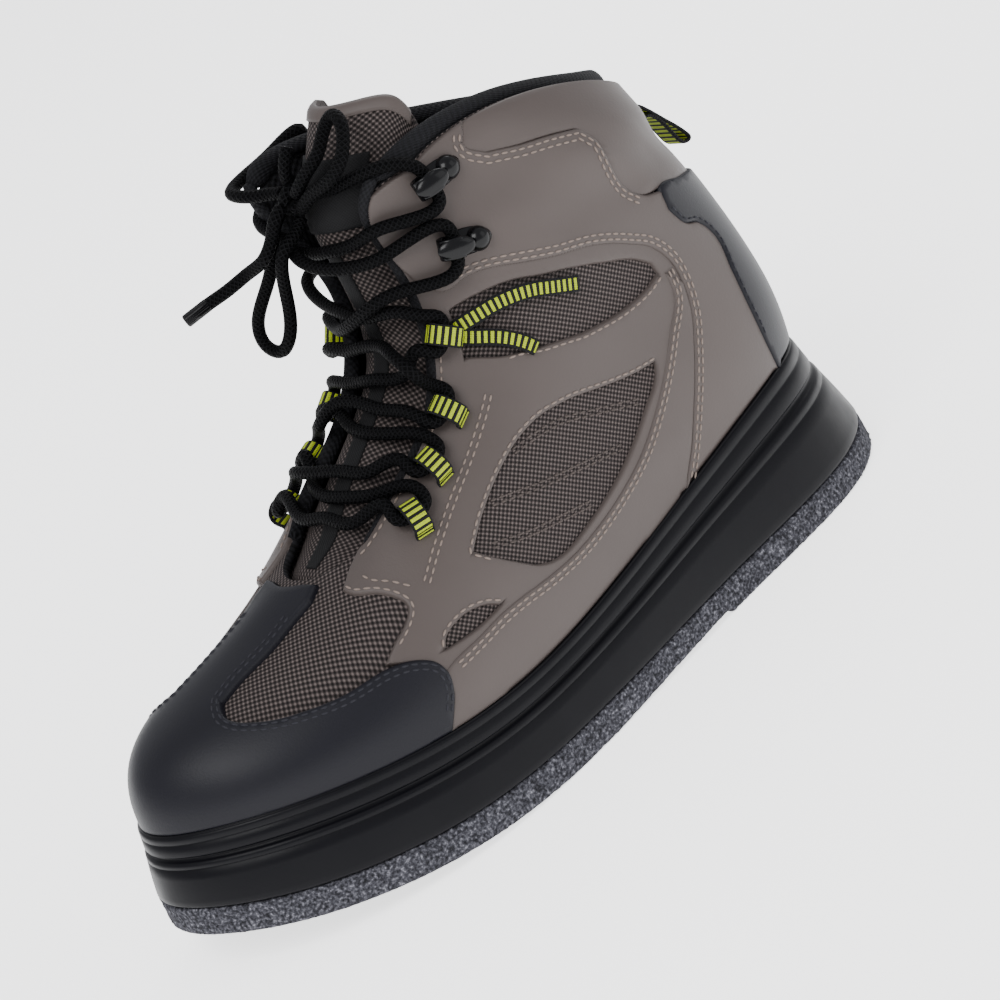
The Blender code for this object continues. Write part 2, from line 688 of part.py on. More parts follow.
def build_overlays():
    cap_outline = TOE_CAP_EDGE + [(1.5, BOTTOM), (0.0, BOTTOM), (-1.5, BOTTOM)]
    cap_outline += [(-s, v) for s, v in reversed(TOE_CAP_EDGE[1:])]
    overlay("toe_cap", cap_outline, [], CLEAR, CAP, SYNTHETIC_BLACK)
    side = side_outline()
    overlay("lateral_panel", side, LATERAL_WINDOWS, CLEAR, PANEL, LEATHER_TAUPE)
    medial_windows = [mirrored(window) for window in LATERAL_WINDOWS]
    overlay("medial_panel", mirrored(side), medial_windows, CLEAR, PANEL, LEATHER_TAUPE)
    counter_top = COUNTER_TOP_EDGE + mirrored(COUNTER_TOP_EDGE)[1:]
    counter = list(reversed(COUNTER_EDGE)) + counter_top
    counter += [(LOOP - s, v) for s, v in COUNTER_EDGE] + [(11.0, BOTTOM)]
    overlay("heel_counter", counter, [], CLEAR, CAP, SYNTHETIC_BLACK)
    cuff_side = shifted(CUFF_EDGE, 2.0 * JOIN_GAP)
    cuff = cuff_side + [(s, v + JOIN_GAP) for s, v in counter_top] + mirrored(cuff_side)
    cuff += [(float(s), THROAT) for s in range(13, 8, -1)]
    overlay("collar_panel", cuff, [], CLEAR, PANEL, LEATHER_TAUPE)


def build_collar_binding():
    """Padded roll on the upper's top edge, from flap to flap round the heel."""
    sides = 8
    first = LOOP_PLACES.index(BINDING_START)
    rings = []
    for s in LOOP_PLACES[first:AROUND - first + 1]:
        top = top_level(s)
        out = upper_normal(s, top)
        base = upper_point(s, top) - out * WALL / 2.0
        crest = upper_point(s, 5.0) - out * WALL / 2.0
        height = np.linalg.norm(crest - base) - BINDING_SEAT
        up = (crest - base) / np.linalg.norm(crest - base)
        centre = base + up * (BINDING_SEAT + height / 2.0)
        ring = []
        for k in range(sides):
            turn = 2.0 * math.pi * k / sides
            ring.append(centre + up * math.cos(turn) * height / 2.0
                        + out * math.sin(turn) * (WALL / 2.0 + BINDING_SWELL))
        rings.append(ring)
    points = [point for ring in rings for point in ring]
    faces = ring_faces(len(rings), sides)
    faces.append(tuple(range(sides)))
    faces.append(tuple(range((len(rings) - 1) * sides, len(rings) * sides)))
    return mesh_object("collar_binding", points, faces, KNIT_BLACK)


# Tongue, gusseted under the throat's edges. bulge is how far its middle stands off the line
# between those edges, a share of half the ball width.
TONGUE_COLUMNS = ("station", "bulge")
TONGUE_ROWS = (
    (1.4, 0.00),
    (2.0, 0.05),
    (3.0, 0.09),
    (4.0, 0.12),
    (5.0, 0.14),
    (5.6, 0.12),
)
# Free rows above: z is a share of UPPER_RISE over the floor, x, lip_back and tuck_back of
# LENGTH (lips and tucks lie behind the middle), the rest of half the ball width.
TONGUE_TOP_COLUMNS = ("z", "x", "lip_back", "tuck_back", "lip_lateral", "lip_medial",
                      "tuck_lateral", "tuck_medial")
TONGUE_TOP = (
    (1.056, 0.481, 0.032, 0.083, 0.18, 0.32, 0.34, 0.40),
    (1.155, 0.471, 0.029, 0.077, 0.18, 0.41, 0.32, 0.46),
    (1.254, 0.445, 0.035, 0.077, 0.20, 0.41, 0.29, 0.44),
    (1.345, 0.410, 0.038, 0.077, 0.18, 0.41, 0.25, 0.42),
)
TONGUE_BOW = 0.02       # roundness of its sides, share of half the ball width
TONGUE_TUCK = 4.55      # level to which it reaches under the upper
TONGUE_FOLD = 4.76      # level halfway under the upper
TONGUE_LIP = 4.95       # level at which it comes out of the throat
TONGUE_GAP = 0.0018     # room between tongue and lining


def tongue_row(s, bulge):
    """Nine points across the tongue at s, from the lateral to the medial tuck."""
    sides = (s, LOOP - s)
    tucks = [on_upper(side, TONGUE_TUCK, -WALL - TONGUE_GAP - TONGUE_EDGE / 2.0) for side in sides]
    folds = [on_upper(side, TONGUE_FOLD, -WALL - TONGUE_GAP - TONGUE * 0.3) for side in sides]
    lips = [on_upper(side, TONGUE_LIP, -WALL - TONGUE_GAP - TONGUE * 0.4) for side in sides]
    across = lips[1] - lips[0]
    out = upper_normal(s, 5.0) + upper_normal(LOOP - s, 5.0)
    out -= across * (out @ across) / (across @ across)
    out = out / np.linalg.norm(out)
    middle = (lips[0] + lips[1]) / 2.0 + out * bulge * HALF
    quarters = [lip * 0.5 + middle * 0.5 + out * bulge * HALF * 0.25 for lip in lips]
    return [tucks[0], folds[0], lips[0], quarters[0], middle, quarters[1], lips[1], folds[1], tucks[1]]


def tongue_top_row(z, x, lip_back, tuck_back, lip_lateral, lip_medial, tuck_lateral, tuck_medial):
    """Nine points across a free row, bowed around the ankle."""
    middle = (lip_lateral - lip_medial) / 2.0
    plan = (
        (tuck_back, tuck_lateral),
        ((tuck_back + lip_back) / 2.0, (tuck_lateral + lip_lateral) / 2.0 + TONGUE_BOW),
        (lip_back, lip_lateral),
        (lip_back * 0.25, (lip_lateral + middle) / 2.0),
        (0.0, middle),
        (lip_back * 0.25, (middle - lip_medial) / 2.0),
        (lip_back, -lip_medial),
        ((tuck_back + lip_back) / 2.0, -(tuck_medial + lip_medial) / 2.0 - TONGUE_BOW),
        (tuck_back, -tuck_medial),
    )
    return [np.array((along(x - back), side * HALF, z * UPPER_RISE)) for back, side in plan]


def build_tongue():
    rows = [tongue_row(s, bulge) for s, bulge in TONGUE_ROWS]
    rows += [tongue_top_row(*row) for row in TONGUE_TOP]
    grid = np.array(rows)
    up = np.gradient(grid, axis=0)
    across = np.gradient(grid, axis=1)
    normals = np.cross(up, across)
    normals /= np.linalg.norm(normals, axis=2)[:, :, None]
    shares = np.array((0.0, 0.4, 0.6, 1.0, 1.0, 1.0, 0.6, 0.4, 0.0))
    halves = (TONGUE_EDGE + (TONGUE - TONGUE_EDGE) * shares) / 2.0
    points = []
    for row, normal in zip(grid, normals):
        points += [p + n * h for p, n, h in zip(row, normal, halves)]
        points += [p - n * h for p, n, h in zip(row[::-1], normal[::-1], halves)]
    around = 2 * len(shares)
    faces = ring_faces(len(rows), around)
    for start in (0, (len(rows) - 1) * around):
        for i in range(len(shares) - 1):
            j = around - 1 - i
            faces.append((start + i, start + i + 1, start + j - 1, start + j))
    return mesh_object("tongue", points, faces, MESH_BROWN)


# Small parts on the panels. A profile is drawn in the (forward, out) plane of its seat.
ON_PANEL = CLEAR + PANEL + CLEAR
ON_CAP = CLEAR + CAP + CLEAR
SEAT_STEP = 0.05        # stations, for the directions of a seat


def seat_frame(s, level, toward, length, width, lift):
    """Origin, forward, side and out of a flat base, raised until its footprint is clear.

    toward is the direction of forward in (station, row).
    """
    row = level_row(s, level)
    out = upper_normal(s, level)
    origin = on_shell(s, row, lift)
    along_s = on_shell(s + SEAT_STEP, row, lift) - on_shell(s - SEAT_STEP, row, lift)
    along_row = on_shell(s, row + SEAT_STEP, lift) - on_shell(s, row - SEAT_STEP, lift)
    forward = along_s * toward[0] + along_row * toward[1]
    forward -= out * (out @ forward)
    forward /= np.linalg.norm(forward)
    side = np.cross(out, forward)
    plane = np.array(((along_s @ forward, along_row @ forward), (along_s @ side, along_row @ side)))
    highest = 0.0
    for ahead in (-0.5, 0.0, 0.5):
        for aside in (-0.5, 0.0, 0.5):
            ds, dr = np.linalg.solve(plane, (ahead * length, aside * width)) * 2.0 * SEAT_STEP
            point = on_shell(s + ds, min(row + dr, TOP_ROW), lift)
            highest = max(highest, (point - origin) @ out)
    return origin + out * highest, forward, side, out


def extruded(name, frame, profile, width, material, hole=None):
    """Profile drawn across from side to side; a hole has as many points as the profile."""
    origin, forward, side, out = frame
    loops = [(profile, -0.5), (profile, 0.5)]
    if hole:
        loops += [(hole, 0.5), (hole, -0.5)]
    points = [origin + forward * u + out * w + side * width * end for loop, end in loops for u, w in loop]
    around = len(profile)
    faces = ring_faces(len(loops), around, closed=bool(hole))
    if not hole:
        faces += [tuple(range(around)), tuple(range(around, 2 * around))]
    return mesh_object(name, points, faces, material)


# Lace loops, from the vamp up; the fourth is the end of the instep straps.
LOOP_SEATS = ((4.01, 4.32), (4.47, 4.58), (4.95, 4.72), (5.58, 4.80))
LOOP_ARCH = ((-0.5, 0.0), (0.5, 0.0), (0.5, 0.45), (0.43, 0.76), (0.24, 0.95), (0.0, 1.0),
             (-0.24, 0.95), (-0.43, 0.76), (-0.5, 0.45))


def loop_frame(s, level):
    """Seat of a lace loop: forward runs over the loop, side along the throat."""
    return seat_frame(s, level, (0.0, 1.0), LOOP_WIDTH, LOOP_LENGTH, ON_PANEL)


def build_lace_loops():
    outer = [(u * LOOP_WIDTH, w * LOOP_RISE) for u, w in LOOP_ARCH]
    hole_width = LOOP_WIDTH - 2.0 * WEBBING
    hole_rise = LOOP_RISE - 2.0 * WEBBING
    hole = [(u * hole_width, WEBBING + w * hole_rise) for u, w in LOOP_ARCH]
    for number, (s, level) in enumerate(LOOP_SEATS, 1):
        for side, station in (("lateral", s), ("medial", LOOP - s)):
            name = "lace_loop_%s_%d" % (side, number)
            extruded(name, loop_frame(station, level), outer, LOOP_LENGTH, WEBBING_GREEN, hole)


# Instep straps: centre lines from the loop back towards the ankle.
STRAPS = {
    "upper": [(5.80, 4.56), (6.10, 4.27), (6.45, 3.97), (6.95, 3.55)],
    "lower": [(5.60, 4.48), (5.66, 4.18), (5.74, 3.82)],
}


def strap_outline(centre):
    """Outline of a strap of even width along a centre line of (station, level) pairs."""
    left, right = [], []
    for i, (s, level) in enumerate(centre):
        before = centre[max(i - 1, 0)]
        after = centre[min(i + 1, len(centre) - 1)]
        step = SEAT_STEP
        along_s = (upper_point(s + step, level) - upper_point(s - step, level)) / (2.0 * step)
        along_v = (upper_point(s, level + step) - upper_point(s, level - step)) / (2.0 * step)
        run = along_s * (after[0] - before[0]) + along_v * (after[1] - before[1])
        across = np.cross(upper_normal(s, level), run)
        across *= STRAP_HALF / np.linalg.norm(across)
        frame = np.array((along_s, along_v))
        ds, dv = np.linalg.solve(frame @ frame.T, frame @ across)
        left.append((s + ds, level + dv))
        right.append((s - ds, level - dv))
    return left + right[::-1]


def build_straps():
    for place, centre in STRAPS.items():
        outline = strap_outline(centre)
        overlay("strap_lateral_" + place, outline, [], ON_PANEL, WEBBING, WEBBING_GREEN)
        overlay("strap_medial_" + place, mirrored(outline), [], ON_PANEL, WEBBING, WEBBING_GREEN)


# Speed hooks: a riveted plate whose end curls back over the lace. Lengths are shares of
# the hook's own, heights of its rise.
HOOK_LENGTH = 0.0130
HOOK_RISE = 0.0076
HOOK_OUTSIDE = ((-0.31, 0.0), (0.58, 0.0), (0.66, 0.14), (0.69, 0.34), (0.69, 0.66), (0.63, 0.88),
                (0.50, 1.0), (0.24, 0.96))
RIVET = ((0.10, 0.22), (-0.06, 0.32), (-0.20, 0.26), (-0.31, 0.12))
# Rivet and curl of each hook, from the top, in (station, level).
HOOKS = {
    "lateral_1": ((7.67, 4.62), (7.38, 4.79)),
    "lateral_2": ((6.83, 4.33), (6.38, 4.71)),
    "medial_1": ((LOOP - 8.20, 4.66), (LOOP - 7.90, 4.76)),
    "medial_2": ((LOOP - 7.06, 4.38), (LOOP - 6.79, 4.62)),
}


def hook_frame(rivet, curl):
    """Seat of a hook, forward from its rivet to the throat."""
    toward = (curl[0] - rivet[0], level_row(*curl) - level_row(*rivet))
    return seat_frame(*rivet, toward, HOOK_LENGTH, HOOK_WIDTH, ON_PANEL)


def build_hooks():
    outside = [(u * HOOK_LENGTH, w * HOOK_RISE) for u, w in HOOK_OUTSIDE]
    thick = HOOK_METAL_THICK
    lip = outside[-1]
    inside_curl = [(lip[0], lip[1] - thick)]
    for u, w in ((0.48, 1.0), (0.59, 0.80), (0.62, 0.62), (0.62, 0.36), (0.56, 0.18), (0.46, 0.0)):
        height = thick + w * (HOOK_RISE - 2.0 * thick)
        inside_curl.append((u * HOOK_LENGTH, height))
    inside_curl.append((0.14 * HOOK_LENGTH, thick))
    profile = outside + inside_curl + [(u * HOOK_LENGTH, w * HOOK_RISE) for u, w in RIVET]
    for name, (rivet, curl) in HOOKS.items():
        extruded("hook_" + name, hook_frame(rivet, curl), profile, HOOK_WIDTH, HOOK_METAL)


# Heel pull loop: one webbing band sewn up the back, out and down again. Back and up from the
# middle of the sewn stretch, as shares of PULL_REACH and PULL_RISE.
PULL_LEVEL = 3.42
PULL_REACH = 0.015
PULL_RISE = 0.0135
PULL_OUTSIDE = ((0.00, -0.76), (0.00, 0.74), (0.08, 0.95), (0.26, 1.0), (0.40, 0.88), (1.00, -0.84),
                (0.94, -1.0), (0.76, -0.96))
PULL_INSIDE = ((0.24, 0.62), (0.17, 0.66), (0.11, 0.54), (0.11, -0.76))


def build_pull_loop():
    frame = seat_frame(LAST_STATION, PULL_LEVEL, (0.0, 1.0), 2.0 * PULL_RISE, PULL_WIDTH, ON_CAP)
    profile = [(up_share * PULL_RISE, back_share * PULL_REACH)
               for back_share, up_share in PULL_OUTSIDE + PULL_INSIDE]
    extruded("pull_loop", frame, profile, PULL_WIDTH, WEBBING_GREEN)


EYELET_SEATS = ((4.26, 1.31), (4.75, 1.29))
EYELET_SIDES = 12


def build_drain_eyelets():
    for number, (fold, level) in enumerate(EYELET_SEATS, 1):
        size = 2.0 * EYELET_RADIUS
        origin, forward, side, out = seat_frame(LOOP - fold, level, (0.0, 1.0), size, size, ON_PANEL)
        rings = ((EYELET_RADIUS, 0.0), (EYELET_RADIUS, 0.5), ((EYELET_RADIUS + EYELET_HOLE) / 2.0, 1.0),
                 (EYELET_HOLE, 0.6), (EYELET_HOLE, 0.0))
        points = []
        for radius, rise in rings:
            for k in range(EYELET_SIDES):
                turn = 2.0 * math.pi * k / EYELET_SIDES
                points.append(origin + (forward * math.cos(turn) + side * math.sin(turn)) * radius
                              + out * rise * EYELET_HEIGHT)
        faces = ring_faces(len(rings), EYELET_SIDES, closed=True)
        mesh_object("drain_eyelet_%d" % number, points, faces, HOOK_METAL)


# Lace. Points are metres; the crossings run from the knot down to the vamp and back up.
def mm(*points):
    """Points written in millimetres."""
    return [np.array(point) / 1000.0 for point in points]


def tube(name, route, diameter, sides, spacing, material):
    """Tube with filled ends along a smooth curve through the route."""
    knots = np.concatenate(([0.0], np.cumsum([np.linalg.norm(b - a) for a, b in zip(route, route[1:])])))
    seconds = natural_second_derivatives(knots, np.array(route))
    spline_points = []
    for i, (start, end) in enumerate(zip(knots, knots[1:])):
        parts = max(round((end - start) / spacing), 1)
        for k in range(parts):
            where = start + (end - start) * k / parts
            spline_points.append(cubic_at(knots, np.array(route), seconds, where))
    spline_points.append(route[-1])
    curve = bpy.data.curves.new(name, "CURVE")
    curve.dimensions = "3D"
    curve.bevel_depth = diameter / 2.0
    curve.bevel_resolution = (sides - 4) // 2
    curve.use_fill_caps = True
    spline = curve.splines.new("POLY")
    spline.points.add(len(spline_points) - 1)
    for point, place in zip(spline.points, spline_points):
        point.co = (*place, 1.0)
    curve.materials.append(material)
    piece = bpy.data.objects.new(name, curve)
    bpy.context.scene.collection.objects.link(piece)
    return piece


# The lace's turn at a loop: (along the throat, towards it), from the loop's middle out.
LOOP_TURN = ((0.0, 0.0006), (0.0054, 0.0025), (0.0054, 0.0080))
LACE_BESIDE_HOOK = 0.0006
LACE_IN_HOOK = (0.41, 0.50)     # place of the lace in a hook, share of its length and rise


def through_loop(number, side, upward):
    """Five points of the lace through a loop, run up or down the throat."""
    s, level = LOOP_SEATS[number - 1]
    origin, forward, along_throat, out = loop_frame(s if side == "lateral" else LOOP - s, level)
    middle = origin + out * LOOP_RISE / 2.0
    up = -along_throat if along_throat[0] > 0.0 else along_throat
    points = [middle - up * a + forward * b for a, b in LOOP_TURN[:0:-1]]
    points += [middle + up * a + forward * b for a, b in LOOP_TURN]
    return points if upward else points[::-1]


def round_hook(name, upward):
    """Three points of the lace round a hook."""
    origin, forward, side, out = hook_frame(*HOOKS[name])
    middle = origin + forward * LACE_IN_HOOK[0] * HOOK_LENGTH + out * LACE_IN_HOOK[1] * HOOK_RISE
    up = side if side[2] > 0.0 else -side
    reach = up * (HOOK_WIDTH / 2.0 + LACE * 0.55)
    turned = middle + forward * LACE_BESIDE_HOOK
    points = [turned - reach, middle, turned + reach]
    return points if upward else points[::-1]


def crossings_route():
    """The whole lace between knot and knot, one long run."""
    route = mm((-7.5, -7.5, 184.5), (-8, -3, 184.5), (-9, 1, 184.5), (-12, 10, 186), (-17.5, 20, 187))
    route += round_hook("lateral_1", False)
    route += mm((-8, 19, 170.5), (-3.5, 9, 168), (-1.5, 0, 167), (-1.5, -11, 166), (-2, -23, 167),
                (-7, -34, 168.5))
    route += round_hook("medial_2", False)
    route += mm((-9, -33, 152), (-4, -25, 148), (-1, -13, 145), (0.8, 3, 143.5), (-2.5, 18, 143.5))
    route += through_loop(4, "lateral", False)
    route += mm((5, 16, 126), (8, 5, 125), (8, -9, 123.5), (7, -18, 123))
    route += through_loop(3, "medial", False)
    route += mm((15.5, -14, 116.5), (19.5, -5, 114.5), (21, 5, 113.5), (19.5, 15, 112.5))
    route += through_loop(2, "lateral", False)
    route += mm((32.5, 14, 107), (34, 3, 107.5), (36, -10, 108), (36, -20, 107.5))
    route += through_loop(1, "medial", False)
    route += mm((46.5, -14, 98), (47, 2, 98.5), (46.5, 15, 97.5))
    route += through_loop(1, "lateral", True)
    route += mm((36.5, 20, 101.8), (40, 8, 102), (40.5, -4, 102.3), (36.5, -14, 102.5), (31, -21, 103.2))
    route += through_loop(2, "medial", True)
    route += mm((20.5, -19, 116), (17.5, -11, 121.5), (15, -2, 121), (15, 8, 118.5), (14, 16, 117.5))
    route += through_loop(3, "lateral", True)
    route += mm((8.5, 24, 128), (7.5, 17, 133.5), (3.5, 7, 134.5), (3, -3, 134), (3, -14, 132.5))
    route += through_loop(4, "medial", True)
    route += mm((1, -15, 140), (5, -5, 142), (5.3, 3, 145), (3, 11, 148.5),
                (-3, 18, 150))
    route += round_hook("lateral_2", True)
    route += mm((-6.5, 18, 162), (-1, 9, 161.5), (3, 0, 163), (4, -11, 167), (-0.5, -21.5, 171.5),
                (-4, -35, 176.5), (-16, -41, 179))
    route += round_hook("medial_1", True)
    route += mm((-25, -41.5, 191), (-14, -41.5, 190), (-4, -40, 189.5), (0.5, -34, 189.5), (-1, -27, 188),
                (-4, -21, 187), (-5, -16.5, 186.5))
    return route


LACE_CORDS = {
    "lace_bow_upper": mm((-3.2, -6.8, 187), (-3.5, -4, 189.2), (-6, 0, 193), (-10, 4, 197), (-15, 5.5, 202.5), (-18, 9, 206),
                         (-17, 13, 205), (-13.5, 15.5, 200), (-9, 14.5, 194), (-5, 9, 189.5),
                         (-3, 2, 187), (-2, -4, 183.5), (-3, -6.8, 182)),
    "lace_bow_lower": mm((-3.4, -17.8, 182), (-1, -19.8, 179.5), (3.5, -20, 175.5), (7, -24, 166), (13, -30, 156),
                         (16, -33, 149), (17, -31.5, 143), (16, -27.5, 140.5), (14, -23, 143.5),
                         (11, -19.5, 152.5), (10, -16, 163), (6, -12.3, 173), (0, -12, 175), (-4, -12, 177.8)),
    "lace_end_long": mm((-0.2, -13.5, 184), (3.5, -14, 182), (6, -16, 177.5), (10, -18.5, 172.5), (13, -28, 168),
                        (19, -34, 165.5), (25, -39, 164), (32, -43, 162.5)),
    "lace_end_short": mm((-5, -12, 189), (-6.2, -11, 194), (-9.5, -9, 200.5)),
}
LACE_KNOT = mm((-5, -8, 184.3), (-5, -16, 184.3))
KNOT_SWELL = 2.0        # knot over lace
LACE_SPACING = 0.0095


def build_lace():
    tube("lace_crossings", crossings_route(), LACE, 6, LACE_SPACING, LACE_BLACK)
    tube("lace_knot", LACE_KNOT, LACE * KNOT_SWELL, 10, LACE_SPACING, LACE_BLACK)
    for name, route in LACE_CORDS.items():
        tube(name, route, LACE, 8, LACE_SPACING, LACE_BLACK)


build_midsole()
build_felt_outsole()
build_insole()
build_upper()
build_tongue()
build_overlays()
build_collar_binding()
build_lace_loops()
build_straps()
build_hooks()
build_pull_loop()
build_drain_eyelets()
build_lace()
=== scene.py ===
# %% [markdown]
# # A left wading boot
# The CAD frame is loaded first. It holds every piece of the boot as a plain solid. This script
# gives each solid a finer twin with seams, stitches, weave and braid, in the same place.

import math

import bmesh
import bpy
import numpy as np
from mathutils import Matrix, Vector, kdtree
from mathutils.geometry import delaunay_2d_cdt


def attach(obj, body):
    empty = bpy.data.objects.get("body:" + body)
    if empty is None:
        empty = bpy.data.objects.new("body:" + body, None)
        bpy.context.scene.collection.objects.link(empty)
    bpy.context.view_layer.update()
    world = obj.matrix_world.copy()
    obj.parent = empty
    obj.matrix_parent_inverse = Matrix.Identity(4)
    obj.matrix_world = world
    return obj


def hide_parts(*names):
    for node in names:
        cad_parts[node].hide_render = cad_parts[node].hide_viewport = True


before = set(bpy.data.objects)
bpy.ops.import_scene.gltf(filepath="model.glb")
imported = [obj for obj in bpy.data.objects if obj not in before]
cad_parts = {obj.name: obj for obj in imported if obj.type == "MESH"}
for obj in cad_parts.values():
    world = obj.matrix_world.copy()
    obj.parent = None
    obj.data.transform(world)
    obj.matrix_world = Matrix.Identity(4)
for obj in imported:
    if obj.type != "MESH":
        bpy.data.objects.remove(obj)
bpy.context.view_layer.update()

# %% [markdown]
# ## Camera
# The photo was taken with a long lens from in front of the lateral side, a little above, and the
# boot stands on its toe there. Here the boot stands flat, so the camera is rolled instead.

# %% Camera
CAMERA_PLACE = Vector((0.58963, 0.91588, 0.51966))
CAMERA_AIM = Vector((-0.00609, 0.01400, 0.06967))
CAMERA_UP = Vector((-0.565, -0.038, 0.824))
LENS_MM = 131.0
SENSOR_MM = 36.0

camera_data = bpy.data.cameras.new("photo_camera")
camera_data.lens = LENS_MM
camera_data.sensor_width = SENSOR_MM
camera = bpy.data.objects.new("photo_camera", camera_data)
bpy.context.scene.collection.objects.link(camera)
backward = (CAMERA_PLACE - CAMERA_AIM).normalized()
right = CAMERA_UP.cross(backward).normalized()
upward = backward.cross(right)
turn = Matrix((right, upward, backward)).transposed()
camera.matrix_world = Matrix.Translation(CAMERA_PLACE) @ turn.to_4x4()
bpy.context.scene.camera = camera
print("camera looks", (-backward)[:])

# %% [markdown]
# ## Materials
# All surfaces are procedural. `new_material` makes a principled shader and `grained` adds a fine
# noise for leather, rubber and thread. What is knitted, woven or braided takes its pattern from
# `wave`, a cosine along a UV map in millimetres.

# %% Material helpers
def new_material(name, colour, roughness, metallic=0.0, coat=0.0, specular=0.22):
    """Principled material of one colour, with its tree and shader."""
    material = bpy.data.materials.new(name)
    material.use_nodes = True
    tree = material.node_tree
    shader = tree.nodes["Principled BSDF"]
    shader.inputs["Base Color"].default_value = (*colour, 1.0)
    shader.inputs["Roughness"].default_value = roughness
    shader.inputs["Metallic"].default_value = metallic
    shader.inputs["Coat Weight"].default_value = coat
    shader.inputs["Coat Roughness"].default_value = 0.12
    shader.inputs["Specular IOR Level"].default_value = specular
    return material, tree, shader


def wired(tree, kind, operation=None, **inputs):
    """New node with its inputs set or linked; keys are input numbers as i0, i1 or names."""
    node = tree.nodes.new(kind)
    if operation:
        node.operation = operation
    for key, value in inputs.items():
        socket = node.inputs[int(key[1:]) if key[1:].isdigit() else key]
        if isinstance(value, bpy.types.NodeSocket):
            tree.links.new(value, socket)
        else:
            socket.default_value = value
    return node


def math_node(tree, operation, a, b=0.0, c=0.0):
    """Output of one arithmetic step."""
    return wired(tree, "ShaderNodeMath", operation, i0=a, i1=b, i2=c).outputs[0]


def colour_ramp(tree, factor, stops):
    """Colours over a factor; stops are (place, colour)."""
    node = wired(tree, "ShaderNodeValToRGB", i0=factor)
    elements = node.color_ramp.elements
    while len(elements) < len(stops):
        elements.new(0.5)
    for element, (place, colour) in zip(elements, stops):
        element.position = place
        element.color = (*colour, 1.0)
    return node.outputs[0]


def noise(tree, scale, detail=4.0):
    """Noise over object space, where 1000 is about a millimetre."""
    place = tree.nodes.new("ShaderNodeTexCoord").outputs["Object"]
    return wired(tree, "ShaderNodeTexNoise", Vector=place, Scale=scale, Detail=detail).outputs[0]


def bump(tree, shader, height, strength, distance):
    """Bump of a height on the shader."""
    node = wired(tree, "ShaderNodeBump", Height=height, Strength=strength, Distance=distance)
    tree.links.new(node.outputs[0], shader.inputs["Normal"])


def uv_axes(tree):
    """The two axes of the UV map, in millimetres."""
    place = tree.nodes.new("ShaderNodeUVMap").outputs[0]
    split = wired(tree, "ShaderNodeSeparateXYZ", i0=place)
    return split.outputs[0], split.outputs[1]


def wave(tree, value, pitch, shift=0.0):
    """Cosine along a value, one crest per pitch."""
    angle = math_node(tree, "MULTIPLY_ADD", value, 2.0 * math.pi / pitch, shift)
    return math_node(tree, "COSINE", angle)


def grained(name, colour, roughness, scale, strength, depth, **finish):
    """Principled material of one colour with a fine noise bump."""
    material, tree, shader = new_material(name, colour, roughness, **finish)
    bump(tree, shader, noise(tree, scale), strength, depth)
    return material


# %% [markdown]
# The upper's leather is a smooth taupe synthetic: little grain, a satin gloss, and a colour that
# changes very slightly over a hand's breadth.

# %% Leather, cap, rubber and felt
LEATHER, tree, shader = new_material("leather_taupe", (0.064, 0.0515, 0.0470), 0.50, specular=0.25)
stops = [(0.3, (0.060, 0.0480, 0.0438)), (0.7, (0.068, 0.0548, 0.0502))]
tree.links.new(colour_ramp(tree, noise(tree, 22.0), stops), shader.inputs["Base Color"])
bump(tree, shader, noise(tree, 1100.0), 0.22, 0.0003)

CAP_BLACK = grained("cap_black", (0.0050, 0.0050, 0.0080), 0.45, 1500.0, 0.20, 0.0003, specular=0.18)

RUBBER, tree, shader = new_material("rubber_black", (0.0028, 0.0028, 0.0040), 0.42, specular=0.10)
rough = wired(tree, "ShaderNodeMapRange", i0=noise(tree, 60.0), i1=0.3, i2=0.7, i3=0.32, i4=0.46)
tree.links.new(rough.outputs[0], shader.inputs["Roughness"])
bump(tree, shader, noise(tree, 700.0), 0.08, 0.0003)

FELT_GREY, tree, shader = new_material("felt_grey", (0.05, 0.052, 0.06), 0.97)
stops = [(0.34, (0.008, 0.008, 0.010)), (0.48, (0.030, 0.030, 0.037)),
         (0.60, (0.070, 0.070, 0.082)), (0.74, (0.21, 0.21, 0.24))]
tree.links.new(colour_ramp(tree, noise(tree, 950.0, 5.0), stops), shader.inputs["Base Color"])
bump(tree, shader, noise(tree, 900.0, 6.0), 0.9, 0.0008)

print([material.name for material in bpy.data.materials])

# %% [markdown]
# The air mesh is a warp knit with staggered holes. Two cosines multiplied give a checkerboard of
# soft dots. A ramp over their height gives the colour: the dark holes are the knit's own, while the
# darkening down into them is painted shade and the lighter thread crests are painted highlight.

# %% Meshes and knits
def knit(name, pitch_u, pitch_v, stops, strength, depth, roughness=0.85):
    """Knit with staggered holes, read from the UV map in millimetres; its colour follows the height,
    with painted shade towards the holes and painted highlight on the thread crests.
    """
    material, tree, shader = new_material(name, stops[-1][1], roughness)
    u, v = uv_axes(tree)
    holes = math_node(tree, "MULTIPLY", wave(tree, u, pitch_u), wave(tree, v, pitch_v))
    thread = math_node(tree, "ABSOLUTE", wave(tree, u, pitch_u / 2.0, 1.0))
    between = math_node(tree, "MULTIPLY_ADD", thread, 0.12, 0.42)
    height = math_node(tree, "MULTIPLY_ADD", holes, 0.42, between)
    # Colour from the same height as the bump: painted shade towards the holes, painted highlight on the
    # thread crests.
    tree.links.new(colour_ramp(tree, height, stops), shader.inputs["Base Color"])
    bump(tree, shader, height, strength, depth)
    return material
